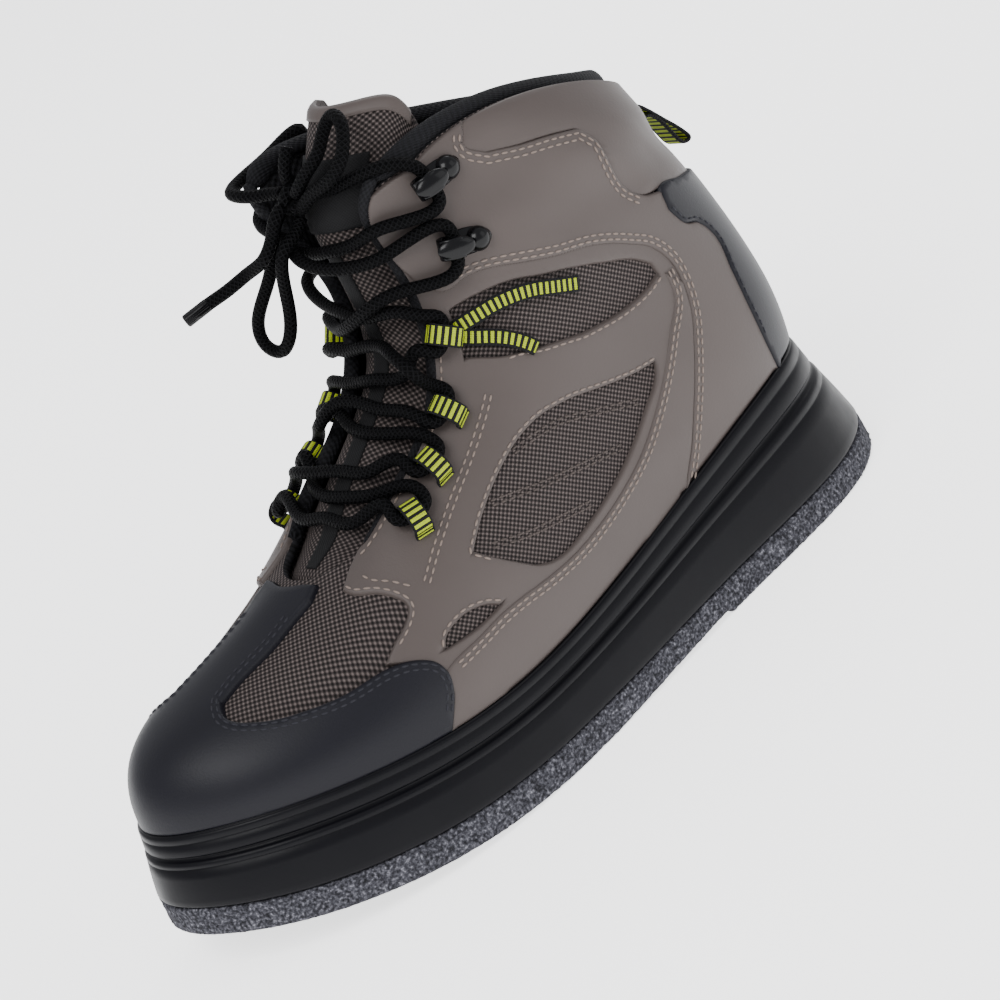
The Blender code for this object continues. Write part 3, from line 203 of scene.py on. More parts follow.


# In each knit the darker stops are the holes with painted shade grading into them; the lightest is
# painted highlight on the thread crests.
AIR_MESH = knit("air_mesh_brown", 2.1, 1.9, [
    (0.16, (0.004, 0.003, 0.003)), (0.38, (0.018, 0.014, 0.013)), (0.62, (0.048, 0.038, 0.036)),
    (0.88, (0.120, 0.097, 0.091))], 0.8, 0.0008)
LINING = knit("lining_black", 3.4, 3.0, [
    (0.20, (0.002, 0.002, 0.002)), (0.8, (0.011, 0.011, 0.013))], 0.7, 0.0009)
COLLAR_KNIT = knit("collar_knit", 2.2, 1.3, [
    (0.10, (0.0015, 0.0015, 0.002)), (0.9, (0.007, 0.007, 0.009))], 0.7, 0.0006)
PATCH = knit("patch_black", 1.0, 1.0, [
    (0.10, (0.003, 0.003, 0.003)), (0.9, (0.008, 0.008, 0.009))], 0.4, 0.0003)

print("knits", AIR_MESH.name, LINING.name, COLLAR_KNIT.name, PATCH.name)

# %% [markdown]
# Loops, straps and the heel pull are one webbing: black, with lime cross bars that stop short of
# the two edges. The lace is a round braid, whose strands cross on the way round; its colour
# follows the strands' height, with painted shade between them and painted highlight on their tops.

# %% Webbing, lace, metal and thread
def webbing(name, half_width):
    """Black webbing with lime cross bars; the UV map runs along it and across from its middle."""
    material, tree, shader = new_material(name, (0.004, 0.004, 0.005), 0.8)
    u, v = uv_axes(tree)
    bars = math_node(tree, "GREATER_THAN", wave(tree, u, 2.15), -0.05)
    inside = math_node(tree, "LESS_THAN", math_node(tree, "ABSOLUTE", v), half_width)
    both = math_node(tree, "MULTIPLY", bars, inside)
    stops = [(0.0, (0.003, 0.003, 0.004)), (1.0, (0.33, 0.41, 0.012))]
    tree.links.new(colour_ramp(tree, both, stops), shader.inputs["Base Color"])
    ribs = math_node(tree, "ADD", wave(tree, u, 1.07), wave(tree, v, 0.7))
    bump(tree, shader, ribs, 0.5, 0.00025)
    return material


LOOP_WEBBING = webbing("webbing_loops", 2.75)
STRAP_WEBBING = webbing("webbing_straps", 1.85)
PULL_WEBBING = webbing("webbing_pull", 3.1)

LACE_BRAID, tree, shader = new_material("lace_braid", (0.002, 0.002, 0.0023), 0.62, specular=0.06)
u, v = uv_axes(tree)
left_strand = wave(tree, math_node(tree, "ADD", math_node(tree, "MULTIPLY", u, 0.6), v), 1.0)
right_strand = wave(tree, math_node(tree, "SUBTRACT", math_node(tree, "MULTIPLY", u, 0.6), v), 1.0)
braid = math_node(tree, "MAXIMUM", left_strand, right_strand)
# The braid's colour follows the strands' height: painted shade between the strands, painted highlight on
# their tops.
stops = [(0.3, (0.0006, 0.0006, 0.0007)), (1.0, (0.0036, 0.0036, 0.0042))]
tree.links.new(colour_ramp(tree, braid, stops), shader.inputs["Base Color"])
bump(tree, shader, braid, 0.8, 0.0005)

HOOK_BLACK = grained("hook_black", (0.0015, 0.0015, 0.002), 0.24, 300.0, 0.03, 0.0003,
                     coat=0.12, specular=0.15)
GUNMETAL = grained("gunmetal", (0.24, 0.215, 0.195), 0.36, 900.0, 0.06, 0.0002, metallic=1.0)
THREAD_TAN = grained("thread_tan", (0.175, 0.138, 0.118), 0.75, 4000.0, 0.4, 0.0002)
THREAD_BROWN = grained("thread_brown", (0.062, 0.050, 0.045), 0.75, 4000.0, 0.4, 0.0002)
THREAD_DARK = grained("thread_dark", (0.016, 0.016, 0.021), 0.75, 4000.0, 0.4, 0.0002)
INSOLE_GREY = grained("insole_grey", (0.010, 0.010, 0.012), 0.9, 1200.0, 0.5, 0.0005)
print(len(bpy.data.materials), "materials")

# %% [markdown]
# ## Helpers for meshes
# Most of the boot is cut from curved sheets, which no primitive gives. They are computed as grids
# or triangles, and one helper turns points, faces and a UV map into an object.

# %% Mesh helpers
def new_piece(name, points, faces, uvs, material, outward=None):
    """Smooth object from points, faces and one UV per point; doubled seam points are merged."""
    mesh = bpy.data.meshes.new(name)
    mesh.from_pydata([tuple(p) for p in points], [], [tuple(f) for f in faces])
    layer = mesh.uv_layers.new(name="UVMap")
    corner = np.empty(len(mesh.loops), dtype=np.int32)
    mesh.loops.foreach_get("vertex_index", corner)
    layer.uv.foreach_set("vector", np.asarray(uvs, dtype=np.float32)[corner].ravel())
    shape = bmesh.new()
    shape.from_mesh(mesh)
    bmesh.ops.remove_doubles(shape, verts=shape.verts, dist=1e-6)
    if outward is None:
        bmesh.ops.recalc_face_normals(shape, faces=shape.faces)
    else:
        some = list(shape.faces)[::50]
        if sum(face.normal.dot(outward(face.calc_center_median())) for face in some) < 0.0:
            bmesh.ops.reverse_faces(shape, faces=shape.faces)
    shape.to_mesh(mesh)
    shape.free()
    mesh.shade_smooth()
    mesh.materials.append(material)
    piece = bpy.data.objects.new(name, mesh)
    bpy.context.scene.collection.objects.link(piece)
    return piece


def grid_faces(rows, columns):
    """Quads of a grid of points."""
    faces = []
    for r in range(rows - 1):
        for c in range(columns - 1):
            a = r * columns + c
            faces.append((a, a + 1, a + columns + 1, a + columns))
    return faces


def rungs(start, last):
    """Quads across a ring from both its ends; its points are start to start + last."""
    return [(start + i, start + i + 1, start + last - i - 1, start + last - i) for i in range(last // 2)]


# %% [markdown]
# Paths and sections are smooth curves through a few placed points, without a bend at their ends.

# %% Smooth curves
def natural_curve(knots, values, where):
    """Smooth curve through values at the knots, carried on straight beyond its ends."""
    knots, values = np.asarray(knots, float), np.asarray(values, float)
    count = len(knots)
    matrix = np.eye(count)
    change = np.zeros((count, count))
    for i in range(1, count - 1):
        before, after = knots[i] - knots[i - 1], knots[i + 1] - knots[i]
        matrix[i, i - 1:i + 2] = before, 2.0 * (before + after), after
        change[i, i - 1:i + 2] = 6.0 / before, -6.0 / before - 6.0 / after, 6.0 / after
    seconds = np.linalg.solve(matrix, change @ values.reshape(count, -1)).reshape(values.shape)
    where = np.asarray(where, float)
    i = np.clip(np.searchsorted(knots, where) - 1, 0, count - 2)
    width = knots[i + 1] - knots[i]
    t = (where - knots[i]) / width
    grow = (1,) * (values.ndim - 1)
    width = width.reshape(width.shape + grow)
    b = np.clip(t, 0.0, 1.0).reshape(width.shape)
    a = 1.0 - b
    slope = (values[i + 1] - values[i]) / width
    ends = np.where(b > 0.5, seconds[i] + 2.0 * seconds[i + 1], -2.0 * seconds[i] - seconds[i + 1])
    beyond = (t.reshape(width.shape) - b) * width
    bend = width ** 2 / 6.0 * ((a ** 3 - a) * seconds[i] + (b ** 3 - b) * seconds[i + 1])
    return a * values[i] + b * values[i + 1] + bend + (slope + width / 6.0 * ends) * beyond


def lengths_along(points):
    """Length from the start to each point of a path."""
    steps = np.linalg.norm(np.diff(points, axis=0), axis=1)
    return np.concatenate(([0.0], np.cumsum(steps)))


def smooth_path(route, spacing):
    """Even points along a smooth curve through the route."""
    route = np.array(route, float)
    knots = lengths_along(route)
    fine = natural_curve(knots, route, np.linspace(0.0, knots[-1], 40 * len(route)))
    far = lengths_along(fine)
    places = np.linspace(0.0, far[-1], max(int(far[-1] / spacing), 4))
    return np.column_stack([np.interp(places, far, fine[:, k]) for k in range(3)])


def unit(vectors):
    """Vectors of length one."""
    return vectors / np.linalg.norm(vectors, axis=-1, keepdims=True)


# %% [markdown]
# Cords are tubes. Bands, rolls and tapes are lofted: rows of points that run along the piece are
# set once round its section. Domes and stitches begin as a primitive sphere. Every piece is
# finished alike: it rides the boot and stands for its CAD pieces.

# %% Tubes, lofts and spheres
def tube(name, path, diameter, material, sides=14):
    """Round tube with closed ends. The UV map runs along it in millimetres and around it."""
    ahead = unit(np.gradient(path, axis=0))
    across = unit(np.cross(ahead[0], (0.3, 0.2, 0.9)))
    rings, uvs = [], []
    far = lengths_along(path) * 1000.0
    turns = np.linspace(0.0, 2.0 * math.pi, sides + 1)
    for i, point in enumerate(path):
        across = unit(across - ahead[i] * (across @ ahead[i]))
        other = np.cross(ahead[i], across)
        circle = np.outer(np.cos(turns), across) + np.outer(np.sin(turns), other)
        rings.append(point + circle * diameter / 2.0)
        uvs += [(far[i], 6.0 * k / sides) for k in range(sides + 1)]
    points = np.concatenate(rings)
    faces = grid_faces(len(path), sides + 1)
    faces += [tuple(range(sides)), tuple(len(points) - 2 - k for k in range(sides))]
    return new_piece(name, points, faces, uvs, material)


def lofted(name, rows, line, around, material):
    """Closed body from rows along a line, once round its section, capped at both ends.

    The UV map runs along the line in millimetres, and around holds each row's other value."""
    count = len(line)
    far = lengths_along(line) * 1000.0
    uvs = [np.column_stack((far, np.full_like(far, value))) for value in around]
    faces = grid_faces(len(rows), count)
    faces += [tuple(k * count + end for k in range(len(rows) - 1)) for end in (0, count - 1)]
    return new_piece(name, np.concatenate(rows), faces, np.concatenate(uvs), material)


def squashed_sphere(segments, ring_count, semi_axes):
    """A sphere, stretched and flattened in edit mode."""
    bpy.ops.object.select_all(action="DESELECT")
    bpy.ops.mesh.primitive_uv_sphere_add(segments=segments, ring_count=ring_count, radius=1.0)
    bpy.ops.object.mode_set(mode="EDIT")
    bpy.ops.mesh.select_all(action="SELECT")
    bpy.ops.transform.resize(value=semi_axes, center_override=(0.0, 0.0, 0.0))
    bpy.ops.object.mode_set(mode="OBJECT")
    return bpy.context.object


def joined(pieces, name):
    """Several pieces joined into the first, as one object."""
    bpy.ops.object.select_all(action="DESELECT")
    for piece in pieces:
        piece.select_set(True)
    bpy.context.view_layer.objects.active = pieces[0]
    bpy.ops.object.join()
    pieces[0].name = pieces[0].data.name = name
    return pieces[0]


def finished(piece, nodes):
    """Rides the boot and stands for its CAD pieces."""
    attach(piece, "root")
    if nodes:
        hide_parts(*nodes)
    print(piece.name, len(piece.data.polygons), "faces")
    return piece


def painted(node, material):
    """Gives a CAD piece that stays in sight a material of the scene."""
    node.data.materials.clear()
    node.data.materials.append(material)


# %% [markdown]
# ## Lace bow
# The lace ends in a bow: an upper loop that stands up beside the tongue, a lower one that hangs
# in front of it, a long end with its tip, and a short end in one piece with the knot's wrap. Each
# is a round tube along a few points, given in millimetres.

# %% Bow, ends and knot
LACE = 0.0043
KNOT_AT = np.array((-0.005, -0.012, 0.1843))


def mm(*points):
    """Points written in millimetres, as metres."""
    return np.array(points, float) / 1000.0


BOW_UPPER = mm((-3.2, -6.8, 187), (-3.5, -4, 189.2), (-6, 0, 193), (-10, 4, 197), (-15, 5.5, 202.5),
               (-18, 9, 206), (-17, 13, 205), (-13.5, 15.5, 200), (-9, 14.5, 194), (-5, 9, 189.5),
               (-3, 2, 187), (-2, -4, 183.5), (-3, -6.8, 182))
BOW_LOWER = mm((-3.4, -17.8, 182), (-1, -19.8, 179.5), (3.5, -20, 175.5), (7, -24, 166), (13, -30, 156),
               (16, -33, 149), (17, -31.5, 143), (16, -27.5, 140.5), (14, -23, 143.5),
               (11, -19.5, 152.5), (10, -16, 163), (6, -12.3, 173), (0, -12, 175), (-4, -12, 177.8))
END_LONG = mm((-0.2, -13.5, 184), (3.5, -14, 182), (6, -16, 177.5), (10, -18.5, 172.5), (13, -28, 168),
              (19, -34, 165.5), (25, -39, 164), (32, -43, 162.5))
END_SHORT = mm((-5, -12, 189), (-6.2, -11, 194), (-9.5, -9, 200.5))
WRAP_RADIUS = 0.0031
WRAP_PITCH = 0.0044
WRAP_START = 0.0034
TIP_RADIUS = 0.00225


def lace_cord(name, route, nodes):
    """A tube of lace along the route."""
    path = smooth_path(route, 0.0011)
    piece = finished(tube(name, path, LACE, LACE_BRAID), nodes)


turns = np.linspace(0.0, 3.0 * math.pi, 13)
wrap = [KNOT_AT + np.array((WRAP_RADIUS * math.cos(t), WRAP_START - WRAP_PITCH * t / (2.0 * math.pi),
                            -WRAP_RADIUS * math.sin(t))) for t in turns]
lace_cord("bow_loop_upper", BOW_UPPER, ["lace_bow_upper"])
lace_cord("bow_loop_lower", BOW_LOWER, ["lace_bow_lower"])

bpy.ops.object.select_all(action="DESELECT")
tip_start, tip_end = Vector(END_LONG[-2]).lerp(Vector(END_LONG[-1]), -0.15), Vector(END_LONG[-1])
tip_run = tip_end - tip_start
bpy.ops.mesh.primitive_cylinder_add(vertices=20, radius=TIP_RADIUS, depth=tip_run.length)
tip = bpy.context.object
tip.name = tip.data.name = "lace_tip"
bpy.ops.object.mode_set(mode="EDIT")
bpy.ops.mesh.select_all(action="SELECT")
bpy.ops.mesh.bevel(offset=0.0006, segments=2)
bpy.ops.object.mode_set(mode="OBJECT")
tip.data.transform(Matrix.Translation((tip_start + tip_end) / 2.0 + tip_run * 0.08)
                   @ tip_run.to_track_quat("Z", "Y").to_matrix().to_4x4())
tip.data.shade_smooth()
tip.data.materials.append(HOOK_BLACK)
finished(tip, [])
lace_cord("lace_end_with_tip", END_LONG, ["lace_end_long"])
wrap_route = np.concatenate((wrap, [END_SHORT[1], END_SHORT[2]]))
lace_cord("knot_and_short_end", wrap_route, ["lace_knot", "lace_end_short"])

# %% [markdown]
# ## The boot's shape
# Every edge of the boot is read from a table of stations: 0 is the toe centre, 11 the heel centre,
# and the medial side runs on from 11 to 22. Levels rise from the rubber rim, 1, over the upper's
# shoulder, 4, to the top line, 5. A place on the upper is a pair (station, level).

# %% Sizes
LENGTH = 0.312          # felt outsole, heel to toe
BALL_WIDTH = 0.111      # felt outsole, across the ball
SIDE_HEIGHT = 0.0385    # rubber side wall at the heel
FELT = 0.0105           # felt outsole thickness
TOE_SPRING = 0.0155     # lift of the outsole under the toe tip
FLARE = 0.0115          # how far the felt stands out from the rim at the heel back
UPPER_RISE = 0.1515     # collar front above the rim
COLLAR_DROP = 0.006     # how much lower the collar lies on the medial side
FLAP_FORWARD = 0.012    # how far the medial flap of the throat stands open
ARCH_RISE = 0.0018      # hollow of the felt in front of the heel breast
RIM = 0.0032            # wall of the rubber rim around the upper
WALL = 0.0028           # upper with its lining
CLEAR = 0.0003          # clearance between cemented or seated pieces
RIB = 0.0012            # depth of the steps in the rubber side wall
PANEL = 0.0013          # synthetic leather overlays
CAP = 0.0017            # rubbery toe cap and counter
BINDING_HEIGHT = 0.009  # padded knit roll along the collar
BINDING_SWELL = 0.0011  # how far the roll stands out from the wall
TONGUE = 0.0050         # padded tongue, at its middle
TONGUE_EDGE = 0.0024    # tongue at its tucked edges
WEBBING = 0.0011        # thickness of the webbing of loops and straps
LOOP_WIDTH = 0.0112     # lace loops, across the lace
LOOP_RISE = 0.0076      # lace loops, off the panel
LOOP_LENGTH = 0.0068    # lace loops, along the lace
STRAP_HALF = 0.0027     # half the width of the instep straps
HOOK_WIDTH = 0.0070     # speed hooks, along the lace
PULL_WIDTH = 0.0085     # heel pull loop

print("felt sole", LENGTH, "m long,", BALL_WIDTH, "m wide at the ball")

# %% [markdown]
# The tables hold shares of the sizes above, so one size can change by itself. Each line is one
# station, from the toe centre to the heel centre.

# %% Tables of stations and levels
# Stations from toe centre (first) to heel centre (last).
# x is a share of LENGTH, lateral and medial are shares of half the ball width,
# side and deck are shares of SIDE_HEIGHT, spring of TOE_SPRING and the flares of FLARE.
STATION_COLUMNS = ("x", "lateral", "medial", "side", "deck", "spring", "flare_lateral", "flare_medial")
STATIONS = (
    (0.981, -0.135, 0.135, 0.640, 0.36, 0.97, 0.46, 0.46),
    (0.948, 0.290, 0.510, 0.680, 0.36, 0.80, 0.45, 0.44),
    (0.870, 0.640, 0.780, 0.710, 0.36, 0.47, 0.41, 0.38),
    (0.755, 0.880, 0.920, 0.680, 0.36, 0.16, 0.36, 0.30),
    (0.625, 0.930, 0.950, 0.640, 0.35, 0.00, 0.35, 0.24),
    (0.481, 0.875, 0.870, 0.685, 0.37, 0.00, 0.39, 0.17),
    (0.359, 0.795, 0.820, 0.785, 0.42, 0.00, 0.48, 0.19),
    (0.272, 0.745, 0.780, 0.870, 0.46, 0.00, 0.61, 0.34),
    (0.192, 0.705, 0.745, 0.955, 0.50, 0.00, 0.70, 0.49),
    (0.112, 0.595, 0.635, 0.985, 0.51, 0.00, 0.82, 0.70),
    (0.054, 0.333, 0.395, 0.940, 0.51, 0.00, 0.95, 0.95),
    (0.036, -0.027, 0.027, 0.920, 0.51, 0.00, 1.00, 1.00),
)
# Levels of the upper above the rim, one row per station as above.
# x is a share of LENGTH, lateral and medial of half the ball width, rise of UPPER_RISE.
LEVEL_COLUMNS = ("x", "lateral", "medial", "rise")
LOW_LEVEL = (
    (0.962, -0.135, 0.135, 0.066),
    (0.931, 0.245, 0.475, 0.070),
    (0.860, 0.570, 0.715, 0.075),
    (0.749, 0.800, 0.850, 0.095),
    (0.625, 0.865, 0.870, 0.105),
    (0.481, 0.820, 0.820, 0.120),
    (0.362, 0.740, 0.765, 0.140),
    (0.279, 0.700, 0.730, 0.160),
    (0.199, 0.680, 0.695, 0.165),
    (0.120, 0.590, 0.610, 0.168),
    (0.065, 0.340, 0.390, 0.180),
    (0.049, -0.027, 0.027, 0.185),
)
MID_LEVEL = (
    (0.919, -0.120, 0.120, 0.144),
    (0.893, 0.155, 0.390, 0.149),
    (0.831, 0.445, 0.600, 0.158),
    (0.735, 0.670, 0.745, 0.195),
    (0.622, 0.785, 0.800, 0.229),
    (0.481, 0.760, 0.765, 0.264),
    (0.372, 0.700, 0.715, 0.325),
    (0.301, 0.680, 0.700, 0.370),
    (0.224, 0.655, 0.690, 0.400),
    (0.144, 0.565, 0.575, 0.412),
    (0.087, 0.320, 0.340, 0.438),
    (0.072, -0.027, 0.027, 0.448),
)
SHOULDER_LEVEL = (
    (0.806, -0.080, 0.080, 0.200),
    (0.788, 0.150, 0.255, 0.204),
    (0.757, 0.330, 0.405, 0.228),
    (0.702, 0.500, 0.545, 0.275),
    (0.620, 0.605, 0.640, 0.334),
    (0.492, 0.630, 0.655, 0.411),
    (0.398, 0.600, 0.625, 0.562),
    (0.368, 0.605, 0.620, 0.662),
    (0.295, 0.625, 0.640, 0.718),
    (0.200, 0.570, 0.600, 0.684),
    (0.126, 0.330, 0.365, 0.655),
    (0.095, -0.027, 0.027, 0.641),
)
TOP_LEVEL = (
    (0.712, -0.027, 0.027, 0.249),
    (0.703, 0.135, 0.185, 0.257),
    (0.682, 0.245, 0.295, 0.289),
    (0.648, 0.330, 0.380, 0.345),
    (0.603, 0.365, 0.420, 0.424),
    (0.515, 0.370, 0.425, 0.516),
    (0.471, 0.300, 0.390, 0.708),
    (0.470, 0.230, 0.570, 0.866),
    (0.414, 0.375, 0.620, 0.940),
    (0.295, 0.430, 0.440, 0.916),
    (0.168, 0.280, 0.290, 0.822),
    (0.103, -0.027, 0.027, 0.760),
)
# The medial side of the top line lies lower and its loose flap stands further forward:
# one share of COLLAR_DROP and of FLAP_FORWARD per station.
COLLAR_DROP_SHARES = (0.0, 0.0, 0.0, 0.0, 0.0, 0.0, 0.0, -0.3, -0.9, 0.6, 0.7, 0.0)
FLAP_FORWARD_SHARES = (0.0, 0.0, 0.0, 0.0, 0.0, 0.0, 0.0, 0.35, 1.0, 0.25, 0.0, 0.0)

print(len(STATIONS), "stations on a side")

# %% [markdown]
# ## From the tables to a surface
# Closed cubic curves run through each row of the tables. Between them every section is one smooth
# line, so the upper can be asked for the point at any (station, level), and for its normal. Numpy
# does that for thousands of places at once.

# %% Curves and surface
class Loop:
    """Closed smooth curve through points, one unit of s from point to point."""

    def __init__(self, points):
        self.points = np.array(points, float)
        count = len(self.points)
        eye = np.eye(count)
        near = np.roll(eye, 1, 0) + np.roll(eye, -1, 0)
        right_side = 6.0 * (near - 2.0 * eye) @ self.points
        self.seconds = np.linalg.solve(4.0 * eye + near, right_side)

    def at(self, s):
        s = np.asarray(s, float)
        count = len(self.points)
        whole = np.floor(s)
        b = (s - whole)[..., None]
        a = 1.0 - b
        i = whole.astype(int) % count
        j = (i + 1) % count
        bend = (a ** 3 - a) * self.seconds[i] + (b ** 3 - b) * self.seconds[j]
        return a * self.points[i] + b * self.points[j] + bend / 6.0

# %% [markdown]
# The tables give a closed curve for the rubber rim and one for each of the upper's four levels.
# Heights of the deck and of the toe spring change along the boot only.

# %% The boot's curves
HALF = BALL_WIDTH / 2.0
LAST = len(STATIONS) - 1
ROUND = 2 * LAST


def column(table, columns, name):
    """One named column of a table."""
    return np.array([row[columns.index(name)] for row in table])


def table_loop(table, columns, heights):
    """Points of a table's row, lateral side first, then the medial side back to the toe."""
    xs = (column(table, columns, "x") - 0.5) * LENGTH
    lateral = column(table, columns, "lateral") * HALF
    medial = -column(table, columns, "medial") * HALF
    points = [(xs[i], lateral[i], heights[i]) for i in range(LAST + 1)]
    return points + [(xs[i], medial[i], heights[i]) for i in range(LAST - 1, 0, -1)]


station_x = (column(STATIONS, STATION_COLUMNS, "x") - 0.5) * LENGTH
spring_rows = TOE_SPRING * column(STATIONS, STATION_COLUMNS, "spring")
rim_rows = spring_rows + FELT + SIDE_HEIGHT * column(STATIONS, STATION_COLUMNS, "side")
deck_rows = spring_rows + FELT + SIDE_HEIGHT * column(STATIONS, STATION_COLUMNS, "deck")
rim_loop = Loop(table_loop(STATIONS, STATION_COLUMNS, rim_rows))
flares = [(FLARE * f,) for f in column(STATIONS, STATION_COLUMNS, "flare_lateral")]
flares += [(FLARE * f,) for f in column(STATIONS, STATION_COLUMNS, "flare_medial")[-2:0:-1]]
flare_loop = Loop(flares)


def height_along(rows, x):
    """Height that changes along the boot only."""
    return natural_curve(station_x[::-1], rows[::-1], x)


def outline(s, outward):
    """Plan of the rubber rim at s, moved outward."""
    run = rim_loop.at(s + 0.02) - rim_loop.at(s - 0.02)
    size = np.hypot(run[..., 0], run[..., 1])
    here = rim_loop.at(s)
    return here[..., 0] + run[..., 1] / size * outward, here[..., 1] - run[..., 0] / size * outward


level_loops = []
for table in (LOW_LEVEL, MID_LEVEL, SHOULDER_LEVEL, TOP_LEVEL):
    rises = column(table, LEVEL_COLUMNS, "rise") * UPPER_RISE
    points = table_loop(table, LEVEL_COLUMNS, rim_rows + rises)
    if table is TOP_LEVEL:
        for i in range(1, LAST):
            x, y, z = points[ROUND - i]
            points[ROUND - i] = (x + FLAP_FORWARD * FLAP_FORWARD_SHARES[i], y,
                                 z - COLLAR_DROP * COLLAR_DROP_SHARES[i])
    level_loops.append(Loop(points))

print(1 + len(level_loops), "closed curves")

# %% [markdown]
# A section of the upper is a natural spline through its points on the five curves. Its places are
# worked out for whole arrays of stations and levels.

# %% Points and normals of the upper
spline_matrix = np.eye(5)
spline_change = np.zeros((5, 5))
for i in (1, 2, 3):
    spline_matrix[i, i - 1:i + 2] = 1.0, 4.0, 1.0
    spline_change[i, i - 1:i + 2] = 6.0, -12.0, 6.0
SECTION_SECONDS = np.linalg.inv(spline_matrix) @ spline_change


def upper_at(s, v):
    """Points of the upper's outside at stations s and levels v."""
    s, v = np.broadcast_arrays(np.asarray(s, float), np.asarray(v, float))
    shape = s.shape
    s, v = s.ravel() % ROUND, v.ravel()
    x, y = outline(s, -RIM - CLEAR)
    rim = np.column_stack((x, y, height_along(rim_rows, x)))
    foot = np.column_stack((x, y, height_along(deck_rows, x) + CLEAR))
    rows = np.array([rim] + [loop.at(s) for loop in level_loops])
    seconds = np.einsum("ij,jnk->ink", SECTION_SECONDS, rows)
    i = np.clip(np.floor(v) - 1, 0, 3).astype(int)
    n = np.arange(len(s))
    b = (v - 1.0 - i)[:, None]
    a = 1.0 - b
    bend = (a ** 3 - a) * seconds[i, n] + (b ** 3 - b) * seconds[i + 1, n]
    points = a * rows[i, n] + b * rows[i + 1, n] + bend / 6.0
    low = (v < 1.0)[:, None]
    points = np.where(low, foot * (1.0 - v[:, None]) + rim * v[:, None], points)
    return points.reshape(shape + (3,))


def directions(s, v, step=0.04):
    """Change of the point per station and per level."""
    v = np.clip(v, 1.0 + step, 5.0 - step)
    along_s = (upper_at(s + step, v) - upper_at(s - step, v)) / (2.0 * step)
    along_v = (upper_at(s, v + step) - upper_at(s, v - step)) / (2.0 * step)
    return along_s, along_v


def normal_at(s, v):
    """Outward normals of the upper."""
    s, v = np.broadcast_arrays(np.asarray(s, float), np.asarray(v, float))
    normal = np.cross(*directions(s, v))
    normal[..., 2] = np.where(v < 1.0, 0.0, normal[..., 2])
    return unit(normal)


# %% [markdown]
# A worn or lasted upper isn't a plain surface: the collar is padded, the mesh swells a little in
# its windows, and the ankle has shallow folds where it bends. These are given as soft ridges and
# troughs, each with a middle line, a width and a height.

# %% Padding and folds
FOLDS = (
    # from (station, level) to (station, level), half width in stations, height in metres
    ((8.55, 3.55), (7.55, 3.75), 0.16, -0.0007),
    ((8.20, 4.25), (7.10, 4.30), 0.22, -0.0006),
    ((7.45, 4.10), (6.75, 4.45), 0.15, 0.0005),
    ((9.20, 3.75), (8.55, 4.15), 0.22, -0.0008),
    ((10.4, 3.70), (9.60, 3.80), 0.25, -0.0008),
    ((5.00, 2.35), (6.60, 1.65), 0.25, 0.0005),
    ((13.4, 3.60), (14.4, 3.80), 0.18, -0.0007),
    ((13.6, 4.25), (14.9, 4.35), 0.22, -0.0006),
    ((12.6, 3.80), (13.3, 4.20), 0.22, -0.0008),
)
PADDING = 0.0026        # swell of the collar's foam
PAD_BEHIND = 7.7        # station where it begins, and over how many stations it rises
PAD_BEHIND_RUN = 0.9
PAD_ABOVE = 3.5         # level where it begins, and over how many levels it rises
PAD_ABOVE_RUN = 0.5
PAD_BELOW = 4.98        # level where it ends, and over how many levels it falls
PAD_BELOW_RUN = 0.35


def relief(s, v):
    """Height of padding and folds at (s, v)."""
    fold = np.minimum(s % ROUND, ROUND - s % ROUND)
    pad = np.clip((fold - PAD_BEHIND) / PAD_BEHIND_RUN, 0.0, 1.0)
    pad = pad * np.clip((v - PAD_ABOVE) / PAD_ABOVE_RUN, 0.0, 1.0)
    pad = pad * np.clip((PAD_BELOW - v) / PAD_BELOW_RUN, 0.0, 1.0)
    total = PADDING * pad * pad * (3.0 - 2.0 * pad)
    for start, end, width, height in FOLDS:
        run = np.subtract(end, start)
        share = ((s % ROUND - start[0]) * run[0] + (v - start[1]) * run[1]) / (run @ run)
        near = np.clip(share, 0.0, 1.0)
        away = np.hypot(s % ROUND - start[0] - near * run[0], v - start[1] - near * run[1])
        total = total + height * np.exp(-(away / width) ** 2)
    return total


def on_boot(s, v, out=0.0):
    """Points on the padded upper, moved out along its normal."""
    s, v = np.broadcast_arrays(np.asarray(s, float), np.asarray(v, float))
    lift = relief(s, v) * np.clip((v - 1.0) / 0.3, 0.0, 1.0) + out
    return upper_at(s, v) + normal_at(s, v) * np.asarray(lift)[..., None]


# %% [markdown]
# The weaves need a flat map of the upper in millimetres, and the pieces along the top line need
# the level at which the upper ends under the collar roll.

# %% Flat map and top edge
BINDING_START = 7.5     # station where the collar roll begins
VAMP_END = 3.46         # in front of this station the mesh is laid on from above
GIRTH_STEPS = 20        # samples per station and per level of the girth table
girth_s, girth_v = np.meshgrid(np.arange(ROUND * GIRTH_STEPS + 1),
                               np.arange(5 * GIRTH_STEPS + 1), indexing="ij")
girth_points = upper_at(girth_s / GIRTH_STEPS, girth_v / GIRTH_STEPS)
girth = np.zeros(girth_s.shape)
girth[:, 1:] = np.cumsum(np.linalg.norm(np.diff(girth_points[:, :, 1:], axis=1), axis=2), axis=1)


def flat_mm(s, v):
    """UV map of the upper in millimetres: along the boot, and up round its girth."""
    s, v = np.broadcast_arrays(np.asarray(s, float) % ROUND, np.asarray(v, float))
    across, up = s * GIRTH_STEPS, np.clip(v, 0.0, 5.0) * GIRTH_STEPS
    i = np.minimum(across.astype(int), ROUND * GIRTH_STEPS - 1)
    j = np.minimum(up.astype(int), 5 * GIRTH_STEPS - 1)
    a, b = across - i, up - j
    low = girth[i, j] * (1.0 - a) + girth[i + 1, j] * a
    high = girth[i, j + 1] * (1.0 - a) + girth[i + 1, j + 1] * a
    place = upper_at(s, v)
    up_side = low * (1.0 - b) + high * b
    vamp = np.minimum(s, ROUND - s) < VAMP_END
    return np.stack((place[..., 0], np.where(vamp, place[..., 1], up_side)), axis=-1) * 1000.0


